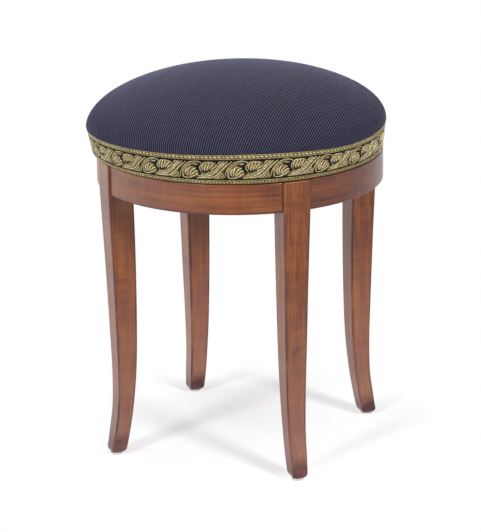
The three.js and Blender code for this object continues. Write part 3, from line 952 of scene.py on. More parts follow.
def cushion_profile(inset=0.0, steps=CROWN_STEPS):
    """[radius, height] from the top of the crown to the foot of the side."""
    s = bpy.context.scene.stool_seat
    angle = np.linspace(QUARTER, 0, steps)
    rise = s.top - s.widest
    radius = (s.radius - inset) * np.maximum(np.cos(angle), 0) ** (2 / s.flatness)
    height = s.widest + (rise - inset) * np.sin(angle) ** (2 / s.fullness)
    radius[0] = 0
    shoulder = TRIM_TOP + FIT
    tuck = side_radius(TRIM_HEIGHT + FIT) - inset
    return [*zip(radius, height), *quarter_round(
        (tuck, s.widest), (s.radius - inset - tuck, shoulder - s.widest))]


def cover_profile():
    """The crown, the side behind the trim, the rolled edge and the hem under the board."""
    profile = cushion_profile()
    for height in np.linspace(TRIM_HEIGHT - 4 * MM, 6 * MM, 5):
        profile.append((side_radius(height), TRIM_BOTTOM + height))
    profile += quarter_round(
        (side_radius(HEM_ROLL) - HEM_ROLL, COVER_BOTTOM + HEM_ROLL), (HEM_ROLL, -HEM_ROLL))
    profile.append((SIDE_FOOT - HEM_WIDTH, COVER_BOTTOM))
    return np.array(profile)


def cover_mesh():
    """A flat round of ribbed cloth laid over the cushion, with straight ribs in the cloth."""
    s = bpy.context.scene.stool_seat
    profile = cover_profile()
    lengths = np.concatenate([[0], np.cumsum(np.hypot(*np.diff(profile, axis=0).T))])
    reach = lengths[-1]
    crown = profile[:CROWN_STEPS, 0]
    brim = np.interp(s.radius - 0.01 * MM, crown, lengths[:CROWN_STEPS])
    spacing, around = ((4.4 * MM, 720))
    step = s.rib_pitch / 4
    inner = brim - 1.4 * MM
    places = []
    for column in range(-int(inner / step), int(inner / step) + 1):
        half = math.sqrt(inner**2 - (column * step) ** 2)
        if half > 2 * MM:
            rows = max(2, int(2 * half / spacing) + 1)
            places += [(column * step, v) for v in np.linspace(-half, half, rows)]
    edge = [brim] + [rho for rho in lengths if rho > brim + 0.3 * MM]
    angles = np.arange(around) * TURN / around
    for rho in edge:
        places += list(zip(rho * np.cos(angles), rho * np.sin(angles)))
    cut = delaunay_2d_cdt([Vector(p) for p in places], [], [], 0, 1e-7)
    flat, faces = cut[0], cut[2]
    c, v = np.array([tuple(p) for p in flat]).T
    rho = np.minimum(np.hypot(c, v), reach)
    plan = np.arctan2(v, c) + s.rib_angle - QUARTER
    radius = np.interp(rho, lengths, profile[:, 0])
    height = np.interp(rho, lengths, profile[:, 1])
    step = 0.8 * MM
    ahead, behind = np.minimum(rho + step, reach), np.maximum(rho - step, 0)
    run, fall = (np.interp(ahead, lengths, part) - np.interp(behind, lengths, part)
                 for part in profile.T)
    size = np.hypot(run, fall) + 1e-12
    shown = 1 - smooth_share(rho, brim - 1 * MM, brim + 2 * MM)
    rib = s.rib_height * (0.5 + 0.5 * np.cos(TURN * c / s.rib_pitch)) * shown
    radius = radius - rib * fall / size
    height = height + rib * run / size
    points = settled(np.stack([radius * np.cos(plan), radius * np.sin(plan), height], -1))
    mesh = bpy.data.meshes.new("seat_cloth")
    mesh.from_pydata([tuple(p) for p in points], [], faces)
    give_cloth_uv(mesh, np.stack([c, v], -1))
    mesh.shade_smooth()
    return mesh


def trim_place(points):
    """Moves points from a straight band, its foot at height zero, onto the seat's side."""
    points = np.asarray(points, float)
    angle = np.arctan2(points[..., 1], points[..., 0])
    outward = np.hypot(points[..., 0], points[..., 1]) - SIDE_TOP
    height = points[..., 2]
    slope = (SIDE_TOP - SIDE_FOOT) / TRIM_HEIGHT
    radius = side_radius(height) + FIT + TRIM_THICKNESS + outward
    return settled(np.stack([
        radius * np.cos(angle), radius * np.sin(angle),
        TRIM_BOTTOM + height - outward * slope], -1))


# One scroll of the trim. Each stroke has its half width at the middle, how blunt its ends are, and
# its spine as [along, up] points in millimetres, from the start of the repeat and the foot of the
# field
SCROLL_STROKES = [
    # the hooked stem and its inner line
    (0.85, 0.4, [(-0.2, 2.4), (1.2, 8.4), (4.4, 12.9), (9.0, 17.2), (13.8, 19.8),
        (20.2, 20.9), (25.6, 19.9), (29.0, 18.2)]),
    (0.62, 0.4, [(4.6, 2.6), (3.4, 5.0), (4.2, 8.6), (6.9, 12.6), (11.2, 16.4), (15.4, 17.6)]),
    (0.75, 0.4, [(2.6, 4.0), (3.8, 1.5), (8.2, 0.8), (13.2, 1.3), (17.2, 3.2)]),
    # the flower inside the hook
    (1.45, 0.3, [(9.0, 3.4), (7.7, 6.4), (8.4, 9.4), (10.4, 11.6)]),
    (1.50, 0.3, [(10.2, 4.2), (10.8, 8.4), (12.6, 12.0), (14.4, 14.9)]),
    (1.50, 0.3, [(12.2, 4.6), (14.6, 8.2), (17.0, 10.8), (20.2, 12.9)]),
    (1.40, 0.3, [(13.4, 4.0), (16.8, 6.2), (19.6, 8.4), (22.4, 9.2)]),
    (1.05, 0.3, [(14.6, 2.6), (18.2, 3.6), (20.4, 5.4), (22.6, 6.0)]),
    (0.80, 0.4, [(18.2, 16.6), (20.6, 17.6), (23.0, 17.4)]),
    # the leaves over the smile-shaped gap
    (0.95, 0.4, [(27.8, 9.6), (25.9, 11.4), (25.6, 14.4), (27.2, 16.6)]),
    (1.30, 0.3, [(28.6, 11.4), (28.6, 14.6), (30.0, 17.0), (30.6, 20.0)]),
    (1.30, 0.3, [(31.2, 9.6), (31.6, 13.4), (33.2, 16.6), (34.0, 20.6)]),
    (1.30, 0.3, [(33.8, 10.4), (35.2, 14.0), (37.2, 17.0), (37.6, 20.4)]),
    (1.25, 0.3, [(36.4, 11.4), (38.6, 14.4), (41.2, 16.6), (42.0, 19.8)]),
    (1.05, 0.3, [(38.2, 9.8), (41.0, 12.4), (44.0, 14.2), (46.0, 17.0)]),
    # the stem under them, which turns up into the long leaf
    (0.80, 0.4, [(24.6, 5.4), (27.4, 5.0), (31.8, 4.4), (35.6, 6.0), (39.2, 8.6),
        (44.2, 11.4), (49.4, 16.4), (54.6, 20.6)]),
    (0.60, 0.4, [(26.0, 7.9), (28.6, 6.7), (31.8, 6.3), (34.4, 7.4), (36.4, 9.4)]),
    # the long leaf
    (1.20, 0.3, [(20.4, 0.9), (27.0, 1.0), (34.0, 1.2), (40.4, 2.0), (45.6, 4.6),
        (51.6, 10.2), (58.0, 16.2), (63.6, 20.6)]),
    (1.15, 0.3, [(25.6, 2.9), (32.4, 2.9), (38.4, 4.4), (43.4, 7.4), (49.2, 12.8),
        (54.0, 17.2), (58.6, 20.8)]),
    (0.95, 0.3, [(45.4, 12.0), (48.8, 15.0), (52.2, 18.4), (54.6, 20.9)]),
    (0.95, 0.3, [(46.8, 17.8), (48.6, 19.2), (50.6, 20.8)]),
    (0.90, 0.3, [(41.4, 0.9), (45.8, 2.2), (49.4, 5.0), (52.6, 8.0)]),
    (0.70, 0.4, [(47.6, 0.8), (50.6, 2.0), (52.8, 4.6), (53.4, 6.4)]),
    (0.62, 0.4, [(51.4, 0.8), (53.2, 1.4), (53.9, 3.4)]),
]
# the flat leaves that the strokes lie on
SCROLL_LEAVES = [
    (4.6, 0.3, [(9.2, 3.2), (12.4, 7.4), (16.8, 10.8), (18.8, 12.2)]),
    (2.0, 0.3, [(12.8, 3.2), (17.4, 4.4), (22.6, 7.0)]),
    (1.5, 0.3, [(3.4, 2.6), (4.0, 8.2), (8.2, 14.2), (13.6, 18.2), (20.0, 19.2)]),
    (3.9, 0.3, [(27.0, 14.8), (31.4, 16.2), (37.0, 16.6), (44.4, 16.4)]),
    (2.6, 0.3, [(22.0, 2.2), (32.0, 2.8), (40.0, 5.0), (46.0, 9.0), (52.0, 14.4),
        (58.0, 19.2)]),
    (1.5, 0.3, [(45.4, 13.2), (49.6, 17.6), (53.0, 20.6)]),
    (1.7, 0.3, [(42.6, 1.6), (48.6, 3.2), (52.8, 6.4)]),
]
SCROLL_LENGTH = 54.8
SCROLL_HEIGHT = 21.8
# across a stroke: share of the half width, height of the thread, brightness of the outline, which
# on a stroke lies along one side as a painted highlight
STROKE_SECTION = [
    (-1.0, 0.0, 0.0), (-0.84, 0.42, 0.0), (-0.45, 0.5, 0.0), (0.16, 0.5, 0.0), (0.34, 0.5, 0.2),
    (0.44, 0.66, 1.0), (0.66, 0.8, 1.0), (0.88, 0.66, 1.0), (1.0, 0.0, 0.5),
]
LEAF_SECTION = [
    (-1.0, 0.0, 0.5), (-0.95, 0.3, 1.0), (-0.84, 0.26, 0.6), (-0.74, 0.24, 0.0),
    (0.74, 0.24, 0.0), (0.84, 0.26, 0.6), (0.95, 0.3, 1.0), (1.0, 0.0, 0.5),
]
# from lobe to lobe along a leaf's edge, and how far they stand out, as a share of its width
LOBE_LENGTH = 3.1 * MM
LOBE_SHARE = 0.16
# from row to row of points along a leaf, and the fewest rows of a leaf or a stroke
LEAF_STEP = 0.75 * MM
FEWEST_ROWS = 7
# height of the thread over the band, and the share of it that lies in the band
THREAD_RELIEF = 0.45 * MM
THREAD_SUNK = 0.05
# share of a half wave that a stroke's width follows from its first point to its last
STROKE_ENDS = (0.06, 0.94)


def scroll_mesh(ring):
    """One scroll as raised strokes, bent round the axis from angle zero."""
    s = bpy.context.scene.stool_trim
    field = TRIM_HEIGHT - s.top_border - s.low_border - 2 * s.border_gap
    low = s.low_border + s.border_gap
    length = TURN * ring / s.repeats
    points, faces, marks = [], [], []
    shapes = [(leaf, LEAF_SECTION) for leaf in SCROLL_LEAVES]
    shapes += [(stroke, STROKE_SECTION) for stroke in SCROLL_STROKES]
    for (half, blunt, spine), section in shapes:
        spine = np.array(spine) / (SCROLL_LENGTH, SCROLL_HEIGHT) * (length, field)
        leaf = section is LEAF_SECTION
        reach = np.linalg.norm(np.diff(spine, axis=0), axis=1).sum()
        count = max(FEWEST_ROWS, math.ceil(reach / LEAF_STEP) if leaf else 3 * len(spine) + 1)
        line = through(spine, count)
        tangent = np.gradient(line, axis=0)
        tangent /= np.linalg.norm(tangent, axis=1)[:, None]
        normal = np.stack([-tangent[:, 1], tangent[:, 0]], -1)
        first, last = STROKE_ENDS
        share_along = first + (last - first) * np.linspace(0, 1, count)
        swell = np.maximum(np.sin(math.pi * share_along), 0) ** blunt
        width = half * MM * swell
        run = np.concatenate([[0], np.cumsum(np.linalg.norm(np.diff(line, axis=0), axis=1))])
        if leaf:
            width *= 1 + LOBE_SHARE * (2 * np.abs(np.sin(math.pi * run / LOBE_LENGTH)) - 1)
        start, across = len(points), len(section)
        for i in range(count):
            for share, rise, rim in section:
                place = line[i] + normal[i] * width[i] * share
                up = min(max(place[1], 0.0), field)
                proud = (rise - THREAD_SUNK) * THREAD_RELIEF * min(1, swell[i] * 1.3)
                points.append((ring + proud, place[0] / ring, low + up))
                marks.append((rim, run[i], width[i] * share))
        rows = start + across * np.arange(count)
        for a in rows[:-1].tolist():
            for b in range(a, a + across - 1):
                faces.append((b, b + 1, b + across + 1, b + across))
        for a in rows[:-1].tolist():
            faces.append((a, a + across, a + 2 * across - 1, a + across - 1))
        faces.append(tuple(range(start, start + across)))
        faces.append(tuple(range(start + (count - 1) * across, start + count * across))[::-1])
    radius, angle, height = np.array(points).T
    bent = np.stack([radius * np.cos(angle), radius * np.sin(angle), height], -1)
    mesh = bpy.data.meshes.new("scroll")
    mesh.from_pydata([tuple(p) for p in bent], [], faces)
    give_vectors(mesh, "thread", marks)
    solid = bmesh.new()
    solid.from_mesh(mesh)
    bmesh.ops.recalc_face_normals(solid, faces=solid.faces)
    solid.to_mesh(mesh)
    solid.free()
    mesh.shade_smooth()
    mesh.set_sharp_from_angle(angle=math.radians(60))
    return mesh


def stitch_mesh(length, width, proud, slant, crest_highlight):
    """One small stitch: X outwards, Y along the band, Z up, leaning by slant; its thread is marked
    brighter towards its outward crest, a painted highlight.
    """
    rings, around = 5, 6
    points, marks = [], []
    for ring in range(rings):
        t = -1 + 2 * ring / (rings - 1)
        swell = max(0.28, math.sqrt(max(0.0, 1 - t * t * 0.98)))
        for k in range(around):
            turn = TURN * k / around
            out = math.cos(turn) * proud * swell
            side = math.sin(turn) * width / 2 * swell
            rise = t * length / 2
            points.append((out, side * math.cos(slant) - rise * math.sin(slant),
                           side * math.sin(slant) + rise * math.cos(slant)))
            # painted highlight: the outline share grows towards the stitch's outward crest
            marks.append((max(0.0, math.cos(turn)) * crest_highlight, rise, side))
    flat, faces = loft(np.array(points).reshape(rings, around, 3))
    mesh = mesh_of("stitch", flat, faces, math.radians(80))
    give_vectors(mesh, "thread", marks)
    return mesh


def joined(meshes, name):
    """One mesh from several, keeping the thread attribute."""
    solid = bmesh.new()
    for mesh in meshes:
        solid.from_mesh(mesh)
    result = bpy.data.meshes.new(name)
    solid.to_mesh(result)
    solid.free()
    result.shade_smooth()
    return result


# Operators


class StoolOperator(bpy.types.Operator):
    """Common settings of the stool's operators."""

    bl_options = {"REGISTER", "UNDO"}


class STOOL_OT_legs(StoolOperator):
    """Build the four sabre legs with eased corners"""

    bl_idname = "stool.legs"
    bl_label = "Legs"

    def execute(self, context):
        s = context.scene.stool_wood
        stations = [
            (LEG_WAIST + LEG_KICK * kick + LEG_DRAW * draw,
             LEG_FOOT[0] + (LEG_TOP[0] - LEG_FOOT[0]) * depth,
             LEG_FOOT[1] + (LEG_TOP[1] - LEG_FOOT[1]) * width,
             LEG_BOTTOM + (RAIL_BOTTOM - LEG_BOTTOM) * height)
            for height, kick, draw, depth, width in LEG_STATIONS]
        stations = through(stations, 64)
        top = stations[-1, :3]
        rows = []
        for step in range(6):
            bend = QUARTER * step / 5
            height = LEG_BOTTOM + FOOT_ROUND * (1 - math.cos(bend))
            shape = [np.interp(height, stations[:, 3], stations[:, i]) for i in range(3)]
            rows.append((*shape, height, 0.7 * FOOT_ROUND * (1 - math.sin(bend))))
        rows += [(*row, 0.0) for row in stations if row[3] > LEG_BOTTOM + FOOT_ROUND]
        rows += [(*top, FRAME_TOP - drop, 0.0) for drop in (4 * MM, 1.6 * MM, TOP_EASE)]
        rows += [(*top, FRAME_TOP, TOP_EASE)]
        rings, section = [], []
        for outer, depth, width, height, shrink in rows:
            edge = s.edge * depth / LEG_TOP[0]
            outline = rounded(depth - 2 * shrink, width - 2 * shrink, edge)
            here = np.ones(len(outline))
            rings.append(np.column_stack([
                outline[:, 0] + outer - depth / 2, outline[:, 1], height * here]))
            rise = (height - LEG_BOTTOM) / (RAIL_BOTTOM - LEG_BOTTOM)
            stain = (FOOT_STAIN * (1 - smooth_share(rise, 0.03, 0.10))
                     + (1 - FOOT_STAIN) * math.sin(math.pi * min(rise, 1)))
            section.append(np.column_stack([
                2 * outline[:, 0] / depth, 2 * outline[:, 1] / width, stain * here]))
        points, faces = loft(np.array(rings))
        for quarter, side in enumerate(SIDES):
            mesh = mesh_of(f"{side}_leg", points, faces, math.radians(50))
            local = mesh_points(mesh)
            shift = np.array([0.31, 0.17, 0.53]) * (quarter + 1)
            give_vectors(mesh, "grain", local + shift)
            stained = np.concatenate(section)
            stained[:, :2] *= 1 - 0.14 * smooth_share(
                local[:, 2:3], RAIL_BOTTOM - 10 * MM, RAIL_BOTTOM)
            # painted shade under the seat: the high part of the back and left legs is darkened
            # through the stain share
            high = smooth_share(local[:, 2], 200 * MM, RAIL_BOTTOM)
            high *= 1 - smooth_share(local[:, 2], RAIL_BOTTOM, FRAME_TOP)
            stained[:, 2] += LEG_TOP_SHADE[quarter] * high
            give_vectors(mesh, "section", stained)
            set_points(mesh, turned_about_z(local, quarter * QUARTER))
            piece = add_object(f"{side}_leg", mesh, polished_wood())
            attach(piece, "frame")
            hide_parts(f"leg_{side}")
        return {"FINISHED"}


class STOOL_OT_apron(StoolOperator):
    """Build the four curved rails between the legs"""

    bl_idname = "stool.apron"
    bl_label = "Apron rails"

    def execute(self, context):
        s = context.scene.stool_wood
        middle = APRON_RADIUS - RAIL_THICKNESS / 2
        height = FRAME_TOP - RAIL_BOTTOM
        gap = LEG_TOP[1] / 2 + FIT
        ease = 0.5 * MM
        # share of the way from leg to leg, move along the rail, and how much smaller it is there
        fine = 56
        close = (0.08, 0.2, 0.5)
        shares = [*close, *range(1, fine), *(fine - part for part in reversed(close))]
        stations = [(0, 0.0, ease), (0, ease, 0.0), *((i / fine, 0.0, 0.0) for i in shares),
                    (1, -ease, 0.0), (1, 0.0, ease)]
        rings, section = [], []
        for share, move, shrink in stations:
            outline = rounded(
                RAIL_THICKNESS - 2 * shrink, height - 2 * shrink, s.rail_edge, steps=3)
            radius = middle + outline[:, 0]
            start = np.arcsin(gap / radius)
            angle = start + (QUARTER - 2 * start) * share + move / middle
            rings.append(np.column_stack([
                radius * np.cos(angle), radius * np.sin(angle),
                (FRAME_TOP + RAIL_BOTTOM) / 2 + outline[:, 1]]))
            near = min(share, 1 - share) * QUARTER * middle
            section.append(np.column_stack([
                2 * outline[:, 0] / RAIL_THICKNESS, np.minimum(2 * outline[:, 1] / height, 0.6),
                np.full(len(outline), math.exp(-near / (0.9 * MM)))]))
        points, faces = loft(np.array(rings))
        section = np.concatenate(section)
        for quarter, stain in enumerate(RAIL_STAIN):
            mesh = mesh_of("curved_rail", points, faces, math.radians(50))
            local = mesh_points(mesh)
            angle = np.arctan2(local[:, 1], local[:, 0])
            radius = np.hypot(local[:, 0], local[:, 1])
            grain = np.column_stack([radius, local[:, 2], angle * middle])
            give_vectors(mesh, "grain", grain + np.array([0.7, 1.3, 2.9]) * (quarter + 1))
            stained = section.copy()
            stained[:, 2] = stain + max(0.0, JOINT_STAIN - stain) * stained[:, 2]
            give_vectors(mesh, "section", stained)
            set_points(mesh, turned_about_z(local, quarter * QUARTER))
            piece = add_object(f"curved_rail_{quarter + 1}", mesh, polished_wood())
            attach(piece, "frame")
            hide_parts(f"apron_rail_{quarter + 1}")
        return {"FINISHED"}


class STOOL_OT_inside(StoolOperator):
    """Build the crossed rails inside the apron and finish the seat board"""

    bl_idname = "stool.inside"
    bl_label = "Cross rails and board"

    def execute(self, context):
        for node, turn in (("cross_rail_x", 0.0), ("cross_rail_y", QUARTER)):
            piece = softened(node, f"{node}_wood", 0.8 * MM, plain_wood())
            local = turned_about_z(mesh_points(piece.data), -turn)
            give_vectors(piece.data, "grain", local[:, [1, 2, 0]] + 0.4 * (turn + 1))
            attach(piece, "frame")
        board = softened("seat_board", "board", 0.8 * MM, board_ply())
        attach(board, "seat")
        return {"FINISHED"}


class STOOL_OT_glides(StoolOperator):
    """Build the four pale glides under the feet"""

    bl_idname = "stool.glides"
    bl_label = "Glides"

    def execute(self, context):
        low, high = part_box("glide_right")
        centre = (low.x + high.x) / 2
        radius, thick, pin = (high.x - low.x) / 2, 3 * MM, 1.3 * MM
        profile = [
            (0, 0), (6.3 * MM, 0), (7.0 * MM, 0.25 * MM), (7.6 * MM, 0.8 * MM), (radius, 1.6 * MM),
            (radius, thick - 0.3 * MM), (radius - 0.3 * MM, thick), (pin, thick),
            (pin, high.z - 2.6 * MM), (0, high.z)]
        mesh = mesh_of("one_glide", *turned(profile, 32))
        mesh = ring_of(mesh, pale_glide(), 4, radius=centre)
        mesh.name = "glides"
        piece = add_object("glides", mesh, pale_glide())
        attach(piece, "frame")
        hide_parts(*[f"glide_{side}" for side in SIDES])
        return {"FINISHED"}


class STOOL_OT_screw(StoolOperator):
    """Build the threaded spindle, its nut, its plate, its washer and its pins"""

    bl_idname = "stool.screw"
    bl_label = "Screw and plates"

    def execute(self, context):
        iron, steel = black_iron(), bright_steel()
        for node, name, width, material, body, slot in (
                ("nut_plate", "flanged_nut", 0.6 * MM, iron, "frame", "black_iron"),
                ("seat_plate", "cast_plate", 0.9 * MM, iron, "seat", "black_iron"),
                ("stop_washer", "loose_washer", 0.4 * MM, steel, "screw_stop", "bright_steel"),
                ("stop_pin", "end_pin", 0.3 * MM, steel, "seat", "bright_steel"),
                ("hub_pin", "cross_pin", 0.4 * MM, steel, "seat", "bright_steel")):
            piece = softened(node, name, width, material)
            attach(piece, body)
        mesh = spindle_mesh()
        piece = add_object("threaded_spindle", mesh, bright_steel())
        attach(piece, "seat")
        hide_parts("spindle")
        return {"FINISHED"}


def spindle_mesh():
    """A spindle whose square-cut thread winds up it in one helix."""
    low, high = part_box("spindle")
    washer_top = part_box("stop_washer")[1].z
    hub_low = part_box("seat_plate")[0].z
    nut_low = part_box("nut_plate")[0].z
    root, crest, lead, end = 10 * MM, 12.5 * MM, 6 * MM, 8.5 * MM
    thread_low, thread_high = washer_top + 2 * MM, hub_low - 2 * MM
    around = 72
    angles = np.arange(around) * TURN / around
    rings = []

    def ring(radius, height):
        rings.append(np.column_stack([
            radius * np.cos(angles), radius * np.sin(angles), np.full(around, height)]))

    ring(end - 1.0 * MM, low.z)
    ring(end, low.z + 0.8 * MM)
    ring(end, washer_top + FIT)
    ring(root - 0.2 * MM, washer_top + FIT)
    for height in np.arange(thread_low - 1.6 * MM, thread_high + 1.6 * MM, 0.28 * MM):
        phase = (height - nut_low) / lead - angles / TURN
        away = np.abs((phase + 0.5) % 1 - 0.5) * lead
        rise = 1 - smooth_share(away, 0.95 * MM, 1.75 * MM)
        rise = rise * smooth_share(height, thread_low - 1.2 * MM, thread_low + 1.5 * MM)
        rise = rise * (1 - smooth_share(height, thread_high - 1.5 * MM, thread_high + 1.2 * MM))
        ring(root + (crest - root) * rise, height)
    ring(root, high.z - 0.6 * MM)
    ring(root - 0.6 * MM, high.z)
    points, faces = loft(np.array(rings))
    return mesh_of("threaded_spindle", points, faces, math.radians(48))


def screw_mesh():
    """A countersunk wood screw with a slotted head, its face at height zero."""
    profile = [
        (0, -16 * MM), (0.6 * MM, -15 * MM), (2.1 * MM, -12 * MM), (2.1 * MM, -2.6 * MM),
        (4.2 * MM, -0.25 * MM), (4.4 * MM, -0.12 * MM), (4.3 * MM, 0), (0, 0)]
    mesh = mesh_of("one_screw", *turned(profile, 28))
    body = add_object("one_screw", mesh)
    x, y = 6 * MM, 0.55 * MM
    points, faces = loft(np.array([
        [(-x, -y, z), (x, -y, z), (x, y, z), (-x, y, z)] for z in (-1.0 * MM, 1.0 * MM)]))
    cutter = add_object("slot_cutter", mesh_of("slot_cutter", points, faces))
    slot = body.modifiers.new("Slot", "BOOLEAN")
    slot.operation, slot.object, slot.solver = "DIFFERENCE", cutter, "EXACT"
    result = baked_mesh(body)
    bpy.data.objects.remove(body)
    bpy.data.objects.remove(cutter)
    result.shade_smooth()
    result.set_sharp_from_angle(angle=math.radians(35))
    return result


class STOOL_OT_wood_screws(StoolOperator):
    """Build the wood screws of the nut and of the plate under the board"""

    bl_idname = "stool.wood_screws"
    bl_label = "Wood screws"

    def execute(self, context):
        upright = screw_mesh()
        hanging = upright.copy()
        set_points(hanging, mesh_points(hanging) * (1, -1, -1))
        arm_face = PLATE_TOP - ARM_THICKNESS
        for mesh, name, body, prefix, radius, height, first, seed in (
                (upright, "nut_screws", "frame", "nut_screw", 31 * MM, NUT_TOP, 0.0, 3),
                (hanging, "plate_screws", "seat", "plate_screw", 68 * MM, arm_face, DIAGONAL, 8)):
            made = ring_of(mesh, bright_steel(), 4, radius, height, first, spin=TURN, seed=seed)
            piece = add_object(name, made, bright_steel())
            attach(piece, body)
            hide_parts(*[f"{prefix}_{i}" for i in range(1, 5)])
        return {"FINISHED"}


class STOOL_OT_padding(StoolOperator):
    """Build the domed stuffing over the board"""

    bl_idname = "stool.padding"
    bl_label = "Padding"

    def execute(self, context):
        inset = STUFFING_INSET
        foot, bed = BOARD_LOW.z + 0.2 * MM, BOARD_HIGH.z + 0.4 * MM
        rim = BOARD_RADIUS + 0.15 * MM
        hollow = [(0, bed), (rim, bed), (rim, foot)]
        side = [(side_radius(height) - inset, TRIM_BOTTOM + height)
                for height in (2.6 * MM, 6 * MM, 14 * MM, 24 * MM)]

        def settled_outside(rings):
            moved = settled(rings)
            moved[:, :len(hollow)] = rings[:, :len(hollow)]
            return moved

        profile = [*hollow, (side_radius(2 * MM) - inset - 0.3 * MM, foot), *side,
                   *cushion_profile(inset, 40)[::-1]]
        points, faces = revolve(profile, 128, settled_outside)
        mesh = mesh_of("stuffing", points, faces, math.radians(50))
        piece = add_object("stuffing", mesh, stuffing())
        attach(piece, "seat")
        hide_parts("seat_padding")
        return {"FINISHED"}


class STOOL_OT_cover(StoolOperator):
    """Build the ribbed cloth cover, pulled over the padding and turned under the board"""

    bl_idname = "stool.cover"
    bl_label = "Ribbed cover"

    def execute(self, context):
        piece = add_object("cloth_cover", cover_mesh(), ribbed_cloth())
        thickness = piece.modifiers.new("Cloth thickness", "SOLIDIFY")
        thickness.thickness, thickness.offset = CLOTH_THICKNESS, -1
        bake(piece)
        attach(piece, "seat")
        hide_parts("seat_cover")
        return {"FINISHED"}


class STOOL_OT_trim(StoolOperator):
    """Build the woven band, its scrolls and its corded borders"""

    bl_idname = "stool.trim"
    bl_label = "Trim"

    def execute(self, context):
        s = context.scene.stool_trim
        ring, top = SIDE_TOP, TRIM_HEIGHT
        section = [
            (-TRIM_THICKNESS, 0.0), (-0.2 * MM, 0.0), (0.0, 0.3 * MM), (0.0, top / 3),
            (0.0, 2 * top / 3), (0.0, top - 0.3 * MM), (-0.2 * MM, top), (-TRIM_THICKNESS, top)]
        points, faces = revolve([(ring + out, up) for out, up in section], 288)
        mesh = mesh_of("trim_ground", points, faces, math.radians(50))
        straight = mesh_points(mesh)
        set_points(mesh, trim_place(straight))
        angle = np.arctan2(straight[:, 1], straight[:, 0])
        give_cloth_uv(mesh, np.column_stack([angle * ring, straight[:, 2]]))
        ground = add_object("trim_band", mesh, trim_ground())
        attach(ground, "seat")
        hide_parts("seat_trim")

        scrolls = ring_of(scroll_mesh(ring), gold_thread(), s.repeats, first=s.start)
        set_points(scrolls, trim_place(mesh_points(scrolls)))
        scrolls = add_object("trim_scrolls", scrolls, gold_thread())
        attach(scrolls, "seat")

        rows = []
        # height of the row's middle, and a stitch's length, width, relief, slant and the
        # brightness of its crest, a painted highlight, and how many go round
        for middle, length, width, proud, slant, crest_highlight, count in (
                (top - 0.5 * MM, 1.9 * MM, 1.0 * MM, 0.7 * MM, 1.2, 0.75, 700),
                (top - 2.6 * MM, 4.0 * MM, 1.9 * MM, 0.9 * MM, QUARTER - 0.35, 1.0, 228),
                (top - 4.9 * MM, 1.7 * MM, 0.9 * MM, 0.7 * MM, -1.1, 0.65, 760),
                (4.2 * MM, 1.6 * MM, 0.9 * MM, 0.7 * MM, 1.1, 0.75, 760),
                (2.4 * MM, 3.2 * MM, 1.5 * MM, 0.85 * MM, QUARTER - 0.35, 0.8, 270),
                (0.8 * MM, 1.7 * MM, 1.1 * MM, 0.6 * MM, -0.75, 0.35, 620)):
            stitch = stitch_mesh(length, width, proud, slant, crest_highlight)
            rows.append(ring_of(stitch, gold_thread(), count, ring, middle))
        borders = joined(rows, "trim_borders")
        set_points(borders, trim_place(mesh_points(borders)))
        borders = add_object("trim_borders", borders, gold_thread())
        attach(borders, "seat")
        return {"FINISHED"}


def direction(bearing, height):
    """The way to a bearing, counted from -Y, and a height above the horizon."""
    return Vector((
        math.sin(bearing) * math.cos(height), -math.cos(bearing) * math.cos(height),
        math.sin(height)))


